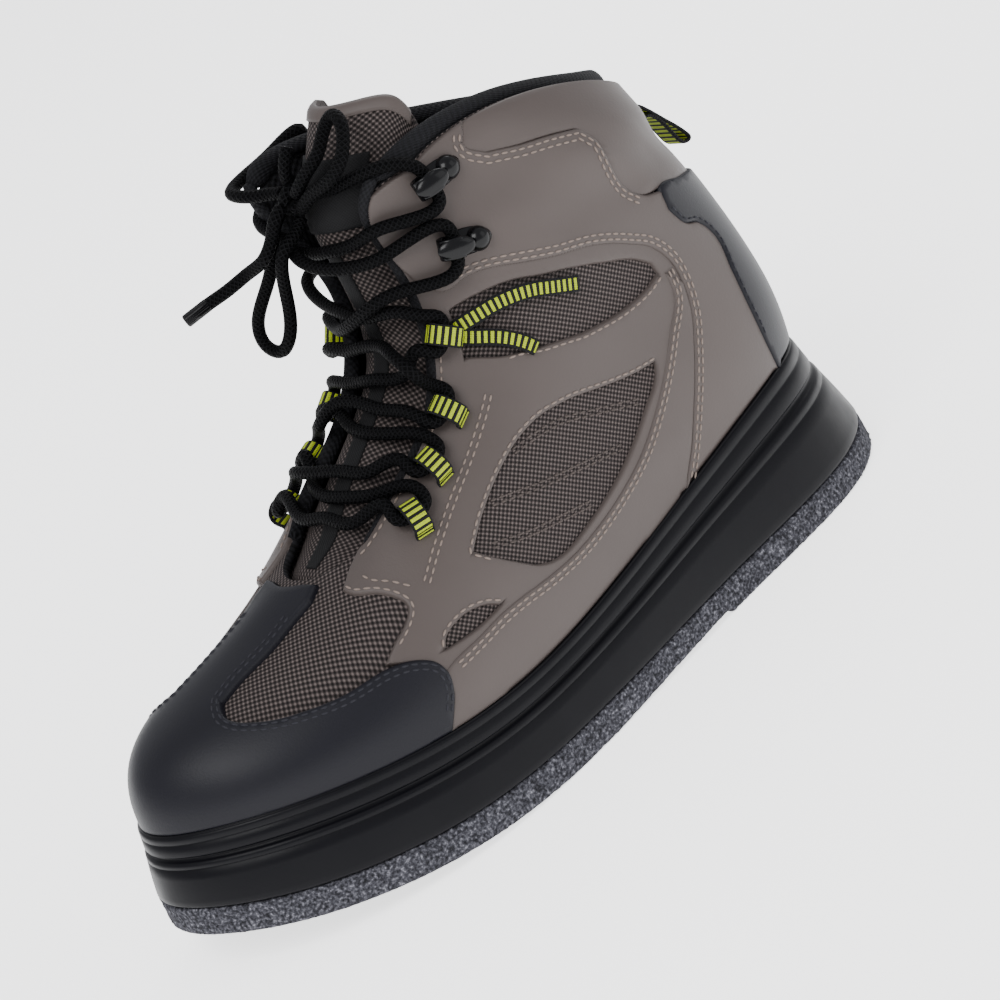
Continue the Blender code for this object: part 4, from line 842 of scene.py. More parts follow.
def roll_height(s):
    """Height of the collar roll at s, none along the throat."""
    fold = np.minimum(s % ROUND, ROUND - s % ROUND)
    return BINDING_HEIGHT * np.clip((fold - BINDING_START + 0.25) / 0.5, 0.0, 1.0)


def top_level(s):
    """Level at which the upper ends under the roll."""
    s = np.asarray(s, float)
    height = roll_height(s)
    rise = 2.0 * np.linalg.norm(upper_at(s, 5.0) - upper_at(s, 4.5), axis=-1)
    return np.where(height > 0.0, 5.0 - (height + 2.0 * CLEAR) / rise, 5.0)


print("heel top", upper_at(11.0, 5.0), "ball", upper_at(3.5, 2.0))

# %% [markdown]
# ## Felt outsole and rubber cup
# Both follow the same plan, so each is a stack of rings with a cap above and below. The rubber
# side wall has a rounded crest, a fine line, a deep groove and a smooth lower band. The felt is
# cut from a thick mat: its edge is straight, but no two fibres end in the same place.

# %% Felt and rubber
def spring_at(x):
    """Lift of the outsole's underside at x."""
    return np.maximum(height_along(spring_rows, x), 0.0)


def stack(name, rings, material):
    """Closed body from rings that begin at the toe centre, capped with rungs from side to side."""
    around = rings[0].shape[0]
    closed = [np.vstack((ring, ring[:1])) for ring in rings]
    points = np.concatenate(closed)
    faces = grid_faces(len(rings), around + 1)
    faces += rungs(0, around) + rungs((len(rings) - 1) * (around + 1), around)
    faces = [tuple(dict.fromkeys(face)) for face in faces]
    far = np.concatenate([lengths_along(ring) for ring in closed]) * 1000.0
    rise = np.repeat(np.arange(len(rings)) * 2.0, around + 1)
    return new_piece(name, points, faces, np.column_stack((far, rise)), material)


round_places = np.arange(0.0, ROUND, 1.0 / 24.0)
SIDE_PROFILE = (
    # share of the side height down from the crest, share of the flare, step outward
    (0.000, 0.000, -0.10), (0.008, 0.008, 0.30), (0.022, 0.025, 0.58), (0.045, 0.045, 0.66),
    (0.100, 0.090, 0.64), (0.112, 0.100, 0.30), (0.124, 0.110, 0.30), (0.136, 0.120, 0.64),
    (0.270, 0.230, 0.62), (0.285, 0.242, 0.45), (0.300, 0.252, -0.40), (0.315, 0.265, -0.55),
    (0.345, 0.290, -0.50), (0.358, 0.305, 0.25), (0.375, 0.330, 0.80), (0.440, 0.390, 0.84),
    (0.450, 0.400, 0.52), (0.460, 0.410, 0.52), (0.472, 0.420, 0.84), (0.600, 0.550, 0.90),
    (0.750, 0.700, 0.90), (0.900, 0.845, 0.84), (0.965, 0.905, 0.76), (0.990, 0.915, 0.50),
    (1.000, 0.910, 0.25),
)


# Inset and drop of the rings over the crest; the first one lies on the deck.
CREST_PROFILE = ((RIM, None), (RIM, 0.0010), (RIM * 0.85, 0.0003), (RIM * 0.5, 0.0), (0.0006, 0.0))
CREST_DROP = 0.0002
RIB_MIDDLE = 0.6


def cup_rings():
    """Rings of the rubber cup from its deck over the crest and down the side."""
    rings = []
    for inset, drop in CREST_PROFILE:
        x, y = outline(round_places, -inset)
        z = height_along(deck_rows, x) if drop is None else height_along(rim_rows, x) - drop
        rings.append(np.column_stack((x, y, z)))
    flare = flare_loop.at(round_places)[:, 0]
    for share, out, step in SIDE_PROFILE:
        x, y = outline(round_places, flare * out + RIB * (step - RIB_MIDDLE))
        top, bottom = height_along(rim_rows, x) - CREST_DROP, spring_at(x) + FELT
        rings.append(np.column_stack((x, y, top - (top - bottom) * share)))
    return rings


finished(stack("rubber_cup", cup_rings(), RUBBER), ["rubber_midsole"])

FELT_PROFILE = (
    # share of the flare, inset, share of the felt's height, from the top down
    (0.900, 0.0016, 1.000), (0.925, 0.0006, 0.985), (0.940, 0.0, 0.920), (0.955, 0.0, 0.780),
    (0.965, 0.0, 0.640), (0.975, 0.0, 0.500), (0.985, 0.0, 0.360), (1.000, 0.0, 0.220),
    (1.000, 0.0, 0.100), (1.000, 0.0004, 0.030), (0.990, 0.0014, 0.000),
)
FUZZ = 0.00013          # how unevenly the fibres end
FUZZ_INSET = 0.0001
ARCH_START = 4.4        # stations of the hollow in front of the heel breast
ARCH_RUN = 1.6
HEEL_BREAST = 6.01
random = np.random.default_rng(7)
felt_places = np.arange(0.0, ROUND, 1.0 / 36.0)
felt_fold = np.minimum(felt_places, ROUND - felt_places)
arch = np.clip((felt_fold - ARCH_START) / ARCH_RUN, 0.0, 1.0)
hollow = ARCH_RISE * np.sin(arch * math.pi / 2.0) * (felt_fold <= HEEL_BREAST)
felt_flare = flare_loop.at(felt_places)[:, 0]
felt_rings = []
for out, inward, share in FELT_PROFILE:
    fuzz = random.normal(0.0, FUZZ, len(felt_places)) - FUZZ_INSET
    x, y = outline(felt_places, felt_flare * out - inward + fuzz)
    top, bottom = spring_at(x) + FELT - CLEAR, spring_at(x) + hollow
    felt_rings.append(np.column_stack((x, y, bottom + (top - bottom) * share)))
finished(stack("felt_sole", felt_rings, FELT_GREY), ["felt_outsole"])

# %% [markdown]
# ## Upper
# The upper is one lasted sock of air mesh with a black padded lining. Outer rows run up from the
# footbed, round the top edge and back down inside, and the inner ones take the lining.

# %% Upper shell
UPPER_ROWS = 96
LINING_SHARE = 0.6      # share of the padding that swells inward too
shell_places = np.linspace(0.0, ROUND, 441)
shell_top = top_level(shell_places)
outer, inner, outer_uv = [], [], []
for share in np.concatenate(([0.0, 0.5], np.linspace(1.0, 5.0, UPPER_ROWS))):
    v = np.full_like(shell_places, share)
    if share >= 1.0:
        v = 1.0 + (share - 1.0) * (shell_top - 1.0) / 4.0
    outer.append(on_boot(shell_places, v))
    foam = relief(shell_places, v) * LINING_SHARE
    inner.append(on_boot(shell_places, v, -WALL - foam * (share > 1.0)))
    outer_uv.append(flat_mm(shell_places, v))
rim_row = (outer[-1] + inner[-1]) / 2.0 + (outer[-1] - outer[-4]) * 0.12
rows = outer + [rim_row] + inner[::-1] + [outer[0]]
uv_rows = outer_uv + [outer_uv[-1]] + outer_uv[::-1] + [outer_uv[0]]
shell = new_piece("upper_shell", np.concatenate(rows), grid_faces(len(rows), len(shell_places)),
                  np.concatenate(uv_rows), AIR_MESH)
shell.data.materials.append(LINING)
lined = np.zeros(len(shell.data.polygons), dtype=np.int32)
lined[(len(outer) - 1) * (len(shell_places) - 1):] = 1
shell.data.polygons.foreach_set("material_index", lined)
finished(shell, ["upper"])
painted(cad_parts["insole"], INSOLE_GREY)

# %% [markdown]
# ## Cutting panels out of the surface
# The leather panels, cap and counter are flat cuts laid on the last. Their edges are drawn as
# (station, level) pairs, smoothed between sharp corners, and filled with triangles. Points near an
# edge are pulled down in a quarter circle, so that every panel has a soft rolled edge.

# %% Drawing and filling an outline
def smooth_edge(pairs, closed=True, corner=55.0, pitch=0.04):
    """Smooth line through (station, level) pairs that keeps sharp corners."""
    points = np.array(pairs, float)
    count = len(points)

    def tangent(i):
        if not closed and i in (0, count - 1):
            step = points[1] - points[0] if i == 0 else points[-1] - points[-2]
            return step / np.linalg.norm(step), False
        before = points[i] - points[i - 1]
        after = points[(i + 1) % count] - points[i]
        a, b = before / np.linalg.norm(before), after / np.linalg.norm(after)
        mean = a + b
        return mean / max(np.linalg.norm(mean), 1e-6), a @ b < math.cos(math.radians(corner))

    line = []
    for i in range(count if closed else count - 1):
        j = (i + 1) % count
        step = points[j] - points[i]
        size = np.linalg.norm(step)
        (start, start_sharp), (end, end_sharp) = tangent(i), tangent(j)
        m0 = step if start_sharp else start * size
        m1 = step if end_sharp else end * size
        parts = max(math.ceil(size / pitch), 1)
        for t in np.arange(parts) / parts:
            line.append((2 * t ** 3 - 3 * t ** 2 + 1) * points[i] + (t ** 3 - 2 * t ** 2 + t) * m0
                        + (3 * t ** 2 - 2 * t ** 3) * points[j] + (t ** 3 - t ** 2) * m1)
    if not closed:
        line.append(points[-1])
    return np.array(line)


def beside(line, offset, closed=False):
    """Line moved by an offset in metres to its left, as seen from outside."""
    if closed:
        run = np.roll(line, -1, 0) - np.roll(line, 1, 0)
    else:
        run = np.gradient(line, axis=0)
    a, b = directions(line[:, 0], line[:, 1])
    ahead = a * run[:, :1] + b * run[:, 1:]
    left = unit(np.cross(np.cross(a, b), ahead)) * offset
    aa, ab, bb = (a * a).sum(1), (a * b).sum(1), (b * b).sum(1)
    la, lb = (left * a).sum(1), (left * b).sum(1)
    size = aa * bb - ab * ab
    return line + np.column_stack(((la * bb - lb * ab) / size, (lb * aa - la * ab) / size))


def inside(points, polygon):
    """Which of the points lie inside a closed polygon."""
    x, y = points[:, 0][:, None], points[:, 1][:, None]
    x0, y0 = polygon[:, 0], polygon[:, 1]
    x1, y1 = np.roll(x0, -1), np.roll(y0, -1)
    with np.errstate(divide="ignore", invalid="ignore"):
        cut = x0 + (y - y0) / (y1 - y0) * (x1 - x0)
    return (((y0 > y) != (y1 > y)) & (x < cut)).sum(1) % 2 == 1


def signed_area(polygon):
    """Area of a polygon, positive when it runs anticlockwise."""
    x, y = polygon[:, 0], polygon[:, 1]
    return ((x * np.roll(y, -1) - y * np.roll(x, -1)).sum()) / 2.0


# %% [markdown]
# The points of a panel are its edges, a few rows beside them and a grid inside. A constrained
# Delaunay filling turns them into triangles, and a search tree tells how far each point lies from
# an edge, which gives the rolled edge its height.

# %% Filling a panel
ROLLED = (0.00012, 0.0003, 0.0006, 0.0010)      # distances of the rows of points beside an edge
ROW_ROOM = 0.85         # share of its distance that such a row keeps from other edges
GRID_ROOM = 0.0016      # distance that the inner points keep from all edges
SUNK = 0.0004           # how deep a rolled edge dips under the panel's seat
BOOT_MIDDLE = 0.06      # height from which outward is told


def ceiling(s):
    """Level at which panels end, just below the upper's own edge."""
    return 1.0 + 3.985 * (top_level(s) - 1.0) / 4.0


def panel(name, edge, holes, seat, thickness, material, grid=0.07, rolled=0.0009):
    """Sheet on the upper inside an edge and outside its holes, with rolled edges."""
    loops = []
    for pairs in [edge] + list(holes):
        line = smooth_edge(pairs)
        line[:, 1] = np.minimum(line[:, 1], ceiling(line[:, 0]))
        loops.append(line if signed_area(line) > 0.0 else line[::-1])
    border = np.concatenate([on_boot(line[:, 0], line[:, 1]) for line in loops])
    tree = kdtree.KDTree(len(border))
    for i, point in enumerate(border):
        tree.insert(point, i)
    tree.balance()
    free = []
    for number, line in enumerate(loops):
        for offset in ROLLED:
            side = beside(line, offset if number == 0 else -offset, closed=True)
            apart = [tree.find(p)[2] for p in on_boot(side[:, 0], side[:, 1])]
            free.append(side[np.array(apart) > ROW_ROOM * offset])
    low, high = loops[0].min(0), loops[0].max(0)
    us, vs = np.meshgrid(np.arange(low[0], high[0], grid), np.arange(low[1], high[1], grid))
    inner = np.column_stack((us.ravel(), vs.ravel()))
    inner = inner[inside(inner, loops[0])]
    apart = [tree.find(p)[2] for p in on_boot(inner[:, 0], inner[:, 1])]
    free.append(inner[np.array(apart) > GRID_ROOM])
    edges, flat, start = [], [], 0
    for line in loops:
        flat.append(line)
        edges += [(start + i, start + (i + 1) % len(line)) for i in range(len(line))]
        start += len(line)
    every = np.concatenate(flat + free)
    found = delaunay_2d_cdt([Vector(p) for p in every], edges, [], 0, 1e-5)
    coords = np.array([tuple(p) for p in found[0]])
    triangles = np.array([t for t in found[2] if len(t) == 3])
    middles = coords[triangles].mean(1)
    kept = inside(middles, loops[0])
    for hole in loops[1:]:
        kept &= ~inside(middles, hole)
    triangles = triangles[kept]
    used, triangles = np.unique(triangles, return_inverse=True)
    triangles = triangles.reshape(-1, 3)
    s, v = coords[used, 0], coords[used, 1]
    away = np.array([tree.find(p)[2] for p in on_boot(s, v)])
    share = np.clip(away / rolled, 0.0, 1.0)
    lift = seat - SUNK + (thickness + SUNK) * np.sqrt(1.0 - (1.0 - share) ** 2)
    return new_piece(name, on_boot(s, v, lift), triangles, flat_mm(s, v), material,
                     outward=lambda p: Vector((p.x * 0.3, p.y, p.z - BOOT_MIDDLE)))


def mirrored(pairs):
    """The same edge on the medial side, run the other way."""
    return [(ROUND - s, v) for s, v in reversed(pairs)]


def shifted(pairs, ds):
    """An edge moved along the boot."""
    return [(s + ds, v) for s, v in pairs]


# %% [markdown]
# The edges below were read off the photo. The toe cap and counter lap over the side panels, and the
# cuff round the ankle is a panel of its own. The medial windows differ a little from the lateral.

# %% Edges of the panels
BOTTOM = 0.96           # level to which the panels reach down into the rubber cup
THROAT = 4.975          # level at which they end along the throat
TOE_CAP_EDGE = [
    (0.00, 4.86), (0.80, 4.86), (1.40, 4.78), (1.47, 4.52), (1.25, 4.29), (1.12, 3.94), (0.95, 3.62),
    (0.92, 3.36), (1.25, 3.08), (1.66, 2.92), (2.15, 2.79), (2.55, 2.70), (2.95, 2.70), (3.16, 2.62),
    (3.36, 2.40), (3.43, 2.10), (3.40, 1.75), (3.31, 1.35), (3.22, BOTTOM),
]
VAMP_REAR_EDGE = [
    (2.98, 2.76), (3.14, 2.98), (3.32, 3.16), (3.43, 3.36), (3.38, 3.62), (3.15, 3.95), (2.76, 4.20),
    (2.44, 4.42),
]
CUFF_EDGE = [
    (8.42, 4.80), (8.22, 4.70), (8.03, 4.58), (8.02, 4.45), (8.20, 4.33), (8.46, 4.25), (8.74, 4.18),
    (8.72, 4.02), (8.60, 3.87), (8.50, 3.72), (8.46, 3.58), (8.54, 3.46),
]
COUNTER_EDGE = [
    (8.78, 3.37), (8.66, 3.22), (8.72, 3.06), (8.95, 2.94), (9.05, 2.73), (8.88, 2.42), (8.76, 2.08),
    (8.72, 1.62), (8.82, BOTTOM),
]
COUNTER_TOP_EDGE = [(8.86, 3.41), (9.40, 3.30), (10.2, 3.12), (11.0, 3.03)]
UPPER_WINDOW = [
    (5.80, 4.70), (6.12, 4.25), (6.57, 3.87), (7.10, 3.58), (7.52, 3.34), (7.82, 3.17), (7.95, 3.05),
    (7.93, 2.96), (7.65, 2.97), (7.23, 3.05), (6.77, 3.19), (6.31, 3.37), (5.84, 3.69), (5.54, 4.12),
    (5.42, 4.60),
]
LOWER_WINDOW = [
    (4.20, 3.30), (4.46, 3.56), (4.74, 3.70), (5.00, 3.70), (5.24, 3.58), (5.55, 3.33), (6.02, 2.99),
    (6.60, 2.68), (7.02, 2.52), (6.90, 2.41), (6.50, 2.31), (6.05, 2.21), (5.60, 2.15), (5.15, 2.13),
    (4.80, 2.16), (4.62, 2.30), (4.42, 2.69), (4.28, 3.04),
]
SMALL_WINDOW = [(3.52, 2.42), (3.60, 2.60), (3.80, 2.68), (3.98, 2.60), (4.12, 2.40), (3.86, 2.38)]
MEDIAL_UPPER_WINDOW = [
    (5.90, 4.72), (6.18, 4.35), (6.69, 3.83), (7.28, 3.47), (7.56, 3.23), (7.72, 3.04), (7.48, 3.03),
    (6.72, 3.22), (6.24, 3.42), (5.80, 3.71), (5.52, 4.09), (5.42, 4.62),
]
MEDIAL_LOWER_WINDOW = [
    (4.16, 3.32), (4.39, 3.66), (4.71, 3.86), (5.03, 3.82), (5.35, 3.52), (5.87, 3.09), (6.50, 2.71),
    (6.82, 2.53), (6.30, 2.45), (5.57, 2.42), (5.01, 2.35), (4.56, 2.28), (4.42, 2.42), (4.24, 2.92),
]
# The ankle panel's lower edge runs on down behind the windows to the sole.
ANKLE_EDGE = [
    (5.98, 4.72), (6.20, 4.45), (6.60, 4.05), (7.10, 3.72), (7.55, 3.49), (7.90, 3.27), (8.10, 3.12),
    (8.17, 2.95), (8.10, 2.75), (7.93, 2.53), (7.62, 2.25), (7.20, 1.84), (6.74, 1.38), (6.46, 1.12),
    (6.32, BOTTOM),
]
LOWER_EDGE = [
    (8.00, 2.93), (7.89, 2.76), (7.46, 2.57), (7.04, 2.38), (6.56, 2.20), (6.08, 2.07), (5.67, 2.01),
    (5.27, 1.99), (4.90, 2.03), (4.56, 2.15), (4.28, 2.27), (4.06, 2.31), (3.82, 2.27), (3.52, 2.20),
]
EYESTAY_SEAM = [(3.72, 3.42), (4.02, 3.74), (4.40, 4.02), (4.85, 4.18), (5.22, 4.22)]
FLAP_EDGE = [(2.90, 4.42), (3.12, 4.20), (3.40, 3.92), (3.58, 3.60)]
# Quilting lines across the lower window.
QUILTS = (
    [(4.95, 3.64), (5.35, 3.30), (5.85, 2.85), (6.45, 2.40)],
    [(4.55, 3.52), (4.95, 3.05), (5.40, 2.65), (5.90, 2.28)],
    [(4.33, 3.10), (4.65, 2.75), (5.00, 2.45), (5.25, 2.24)],
)
UNDER = 0.05            # how far a panel reaches under the one that laps over it, in stations
LAP = 0.0006            # how much a lapping panel stands higher


print(len(TOE_CAP_EDGE), "points on a side of the cap,", len(COUNTER_EDGE), "on one of the counter")

# %% [markdown]
# A side is a base sheet with open windows and two raised layers, whose outlines share the edges
# above. They reach under the pieces that lap over them.

# %% Outlines of a side's layers
def side_edge():
    """Outline of a side panel, which reaches under cap, cuff and counter."""
    front = shifted(TOE_CAP_EDGE[-1:12:-1], -UNDER)
    throat = [(2.46, 4.78), (2.60, THROAT)] + [(float(s), THROAT) for s in range(3, 8)] + [(7.95, 4.90)]
    behind = shifted(CUFF_EDGE, -0.02) + shifted(COUNTER_EDGE, UNDER)
    return front + VAMP_REAR_EDGE + throat + behind + [(7.0, BOTTOM), (5.0, BOTTOM)]


def ankle_layer():
    """Outline of the raised ankle panel, behind and above the windows."""
    throat = [(7.95, 4.90), (7.0, THROAT), (6.3, THROAT), (6.02, 4.9)]
    return ANKLE_EDGE + [(7.4, BOTTOM)] + shifted(COUNTER_EDGE, UNDER)[::-1] + CUFF_EDGE[::-1] + throat


def lower_layer():
    """Outline of the raised lower panel, from the cap to the ankle panel."""
    under_ankle = shifted(ANKLE_EDGE[8:], 0.03)
    front = shifted(TOE_CAP_EDGE[15:], -0.03)
    return under_ankle + [(5.0, BOTTOM)] + front[::-1] + LOWER_EDGE[::-1]


# %% [markdown]
# ## Side panels, cuff, cap and counter
# The base sheet and its two layers are joined to one piece per side. Cap, cuff and counter go
# across both sides and lap over them.

# %% Panels
SEAT = CLEAR
layer_seat = SEAT + PANEL - 0.0002      # a second layer is pressed into the first
for side, flip in (("lateral", list), ("medial", mirrored)):
    lateral = side == "lateral"
    windows = [UPPER_WINDOW if lateral else MEDIAL_UPPER_WINDOW,
               LOWER_WINDOW if lateral else MEDIAL_LOWER_WINDOW, SMALL_WINDOW]
    base = panel(side + "_base", flip(side_edge()), [flip(w) for w in windows], SEAT, PANEL, LEATHER)
    lower = panel(side + "_lower", flip(lower_layer()), [], layer_seat, LAP + 0.0002, LEATHER)
    ankle = panel(side + "_ankle", flip(ankle_layer()), [], layer_seat, LAP + 0.0005, LEATHER)
    finished(joined([base, lower, ankle], side + "_side_leather"), [side + "_panel"])

cap_edge = TOE_CAP_EDGE + [(1.5, BOTTOM), (0.0, BOTTOM), (-1.5, BOTTOM)]
cap_edge += [(-s, v) for s, v in reversed(TOE_CAP_EDGE[1:])]
cap = panel("cap_sheet", cap_edge, [], SEAT, CAP + 0.0007, CAP_BLACK, rolled=0.0012)
finished(cap, ["toe_cap"])

counter_top = COUNTER_TOP_EDGE + mirrored(COUNTER_TOP_EDGE)[1:]
cuff_side = shifted(CUFF_EDGE, -UNDER)
cuff_edge = cuff_side + [(s, v - 0.03) for s, v in counter_top] + mirrored(cuff_side)
cuff_edge += [(float(s), THROAT) for s in range(13, 8, -1)]
cuff = panel("cuff_leather", cuff_edge, [], SEAT, PANEL + 0.0003, LEATHER)
finished(cuff, ["collar_panel"])

counter_edge = list(reversed(COUNTER_EDGE)) + counter_top
counter_edge += [(ROUND - s, v) for s, v in COUNTER_EDGE] + [(11.0, BOTTOM)]
counter = panel("counter_sheet", counter_edge, [], SEAT, CAP + 2.0 * LAP, CAP_BLACK, rolled=0.0012)
finished(counter, ["heel_counter"])

# %% [markdown]
# ## Stitches
# One stitch is a small sphere, stretched and flattened as it would be in edit mode. Copies of it are
# set along each seam, nose to tail, and joined to one mesh per thread colour. Most seams are double.

# %% One stitch and its rows
stitch = squashed_sphere(8, 5, (0.00125, 0.00040, 0.00030))
stitch_points = np.array([vertex.co[:] for vertex in stitch.data.vertices])
stitch_faces = [tuple(face.vertices) for face in stitch.data.polygons]
bpy.data.objects.remove(stitch, do_unlink=True)
STITCH_PITCH = 0.0031


def stitch_places(line, offset, out):
    """Middles, directions and normals of the stitches along a line moved aside by offset."""
    moved = beside(line, offset) if offset else line
    points = on_boot(moved[:, 0], moved[:, 1], out)
    far = lengths_along(points)
    count = max(int(far[-1] / STITCH_PITCH), 1)
    places = (np.arange(count) + 0.5) * far[-1] / count
    s = np.interp(places, far, moved[:, 0])
    v = np.interp(places, far, moved[:, 1])
    middle = on_boot(s, v, out)
    ahead = np.column_stack([np.interp(places + 0.0005, far, points[:, k])
                             - np.interp(places - 0.0005, far, points[:, k]) for k in range(3)])
    return middle, ahead, normal_at(s, v)


def sewn(name, seams, material):
    """All stitches of one thread as one mesh; seams are (line, offsets, height)."""
    points, faces = [], []
    for line, offsets, out in seams:
        for offset in offsets:
            for middle, ahead, normal in zip(*stitch_places(line, offset, out)):
                x_axis = unit(ahead)
                y_axis = unit(np.cross(normal, x_axis))
                z_axis = np.cross(x_axis, y_axis)
                start = len(points) * len(stitch_points)
                points.append(middle + stitch_points @ np.array((x_axis, y_axis, z_axis)))
                faces += [tuple(start + i for i in face) for face in stitch_faces]
    points = np.concatenate(points)
    finished(new_piece(name, points, faces, np.zeros((len(points), 2)), material), [])
    print(len(faces) // len(stitch_faces), "stitches")


# %% [markdown]
# The seams follow the edges of the panels, moved aside by 1.4 to 3.4 mm. Taupe thread holds the
# leather, brown thread quilts the mesh, and dark thread holds cap and counter.

# %% Seams
# Heights of the stitches on each layer.
ON_BASE = SEAT + PANEL + 0.0001
ON_MESH = 0.0001
ON_LAYER = layer_seat + LAP + 0.0003
ON_ANKLE = layer_seat + LAP + 0.0006
ON_CAP = SEAT + CAP + 0.00065
ON_COUNTER = SEAT + CAP + 2.0 * LAP + 0.0001
tan_seams, dark_seams, brown_seams = [], [], []
for lateral in (True, False):
    sign = 1.0 if lateral else -1.0

    def line_of(pairs):
        """A seam's line on this side of the boot."""
        line = smooth_edge(pairs, closed=False)
        return line if lateral else np.column_stack((ROUND - line[:, 0], line[:, 1]))

    tan_seams += [
        (line_of(ANKLE_EDGE[:-1]), (sign * 0.0015, sign * 0.0033), ON_ANKLE),
        (line_of(LOWER_EDGE), (sign * 0.0014, sign * 0.0031), ON_LAYER),
        (line_of(CUFF_EDGE[1:]), (-sign * 0.0016, -sign * 0.0034), ON_ANKLE),
        (line_of(EYESTAY_SEAM), (0.0, sign * 0.0018), ON_BASE),
        (line_of(FLAP_EDGE), (0.0,), ON_BASE),
        (line_of([(2.75, 4.80), (3.6, 4.82), (4.6, 4.86), (5.5, 4.88)]), (0.0,), ON_BASE),
        (line_of(VAMP_REAR_EDGE[1:]), (-sign * 0.0015,), ON_BASE),
    ]
    sewn_edges = [UPPER_WINDOW[7:-1], LOWER_WINDOW[-1:] + LOWER_WINDOW[:9]]
    if not lateral:
        sewn_edges = [MEDIAL_UPPER_WINDOW[6:-1], MEDIAL_LOWER_WINDOW[-1:] + MEDIAL_LOWER_WINDOW[:8]]
    for pairs in sewn_edges + [SMALL_WINDOW[:5]]:
        tan_seams.append((line_of(pairs), (sign * 0.0014,), ON_BASE))
    brown_seams += [(line_of(pairs), (0.0, sign * 0.0016), ON_MESH) for pairs in QUILTS]
    dark_seams += [
        (line_of(TOE_CAP_EDGE[4:-1]), (-sign * 0.0016, -sign * 0.0033), ON_CAP),
        (line_of(COUNTER_EDGE[1:-1]), (sign * 0.0016,), ON_COUNTER),
    ]
sewn("stitches_tan", tan_seams, THREAD_TAN)
sewn("stitches_brown", brown_seams, THREAD_BROWN)
sewn("stitches_dark", dark_seams, THREAD_DARK)

# %% [markdown]
# ## Tongue
# The tongue is a padded flap of mesh, tucked under the throat and bowed round the shin above it. It
# has a taupe edge at the top, a bare black patch under that and a dark band down its middle.

# %% Tongue
# Rows in the throat: station and bulge, a share of half the ball width.
TONGUE_ROWS = ((1.4, 0.00), (2.0, 0.05), (3.0, 0.09), (4.0, 0.12), (5.0, 0.14), (5.6, 0.12))
# Free rows above the throat, from low to high: z, x, lip_back, tuck_back, lip_lateral,
# lip_medial, tuck_lateral, tuck_medial. z is a share of UPPER_RISE; x, lip_back and tuck_back are
# shares of LENGTH (lips and tucks lie behind the middle); the rest are shares of half the ball width.
TONGUE_TOP = (
    (1.056, 0.481, 0.032, 0.083, 0.18, 0.32, 0.34, 0.40),
    (1.155, 0.471, 0.029, 0.077, 0.18, 0.41, 0.32, 0.46),
    (1.254, 0.445, 0.035, 0.077, 0.20, 0.41, 0.29, 0.44),
    (1.345, 0.410, 0.038, 0.077, 0.18, 0.41, 0.25, 0.42),
)
TONGUE_BOW = 0.02       # roundness of its sides, share of half the ball width
TONGUE_TUCK = 4.55      # level to which it reaches under the upper
TONGUE_FOLD = 4.76      # level halfway under the upper
TONGUE_LIP = 4.95       # level at which it comes out of the throat
TONGUE_GAP = 0.0018     # room between tongue and lining
CLOTH_UP = 120          # fine points of the tongue's cloth, along it and across it
CLOTH_ACROSS = 65


def low_row(s, bulge):
    """Nine points across the tongue in the throat at station s."""
    sides = np.array((s, ROUND - s))

    def off_lining(level, depth):
        return upper_at(sides, level) - normal_at(sides, level) * (WALL + TONGUE_GAP + depth)

    tucks = off_lining(TONGUE_TUCK, TONGUE_EDGE / 2.0)
    folds = off_lining(TONGUE_FOLD, TONGUE * 0.3)
    lips = off_lining(TONGUE_LIP, TONGUE * 0.4)
    across = lips[1] - lips[0]
    out = normal_at(sides, 5.0).sum(0)
    out = unit(out - across * (out @ across) / (across @ across))
    middle = lips.mean(0) + out * bulge * HALF
    quarters = lips * 0.5 + middle * 0.5 + out * bulge * HALF * 0.25
    return [tucks[0], folds[0], lips[0], quarters[0], middle, quarters[1], lips[1], folds[1], tucks[1]]


def high_row(z, x, lip_back, tuck_back, lip_lateral, lip_medial, tuck_lateral, tuck_medial):
    """Nine points across a free row, bowed around the shin."""
    middle = (lip_lateral - lip_medial) / 2.0
    plan = (
        (tuck_back, tuck_lateral),
        ((tuck_back + lip_back) / 2.0, (tuck_lateral + lip_lateral) / 2.0 + TONGUE_BOW),
        (lip_back, lip_lateral),
        (lip_back * 0.25, (lip_lateral + middle) / 2.0),
        (0.0, middle),
        (lip_back * 0.25, (middle - lip_medial) / 2.0),
        (lip_back, -lip_medial),
        ((tuck_back + lip_back) / 2.0, -(tuck_medial + lip_medial) / 2.0 - TONGUE_BOW),
        (tuck_back, -tuck_medial),
    )
    return [np.array(((x - back - 0.5) * LENGTH, side * HALF, z * UPPER_RISE)) for back, side in plan]


print(len(TONGUE_ROWS), "rows in the throat and", len(TONGUE_TOP), "above it")

# %% [markdown]
# The rows are refined to a fine cloth, and four closed slabs are cut from it: the tongue itself,
# its taupe top edge, the black patch and the band. The last three stand out by 0.7 to 0.8 mm.

# %% Cloth and slabs
coarse = np.array([low_row(*row) for row in TONGUE_ROWS] + [high_row(*row) for row in TONGUE_TOP])
up_knots = np.arange(len(coarse), dtype=float)
up_fine = np.linspace(0.0, up_knots[-1], CLOTH_UP)
across_fine = np.linspace(0.0, 8.0, CLOTH_ACROSS)
lines = natural_curve(np.arange(9.0), np.swapaxes(coarse, 0, 1), across_fine)
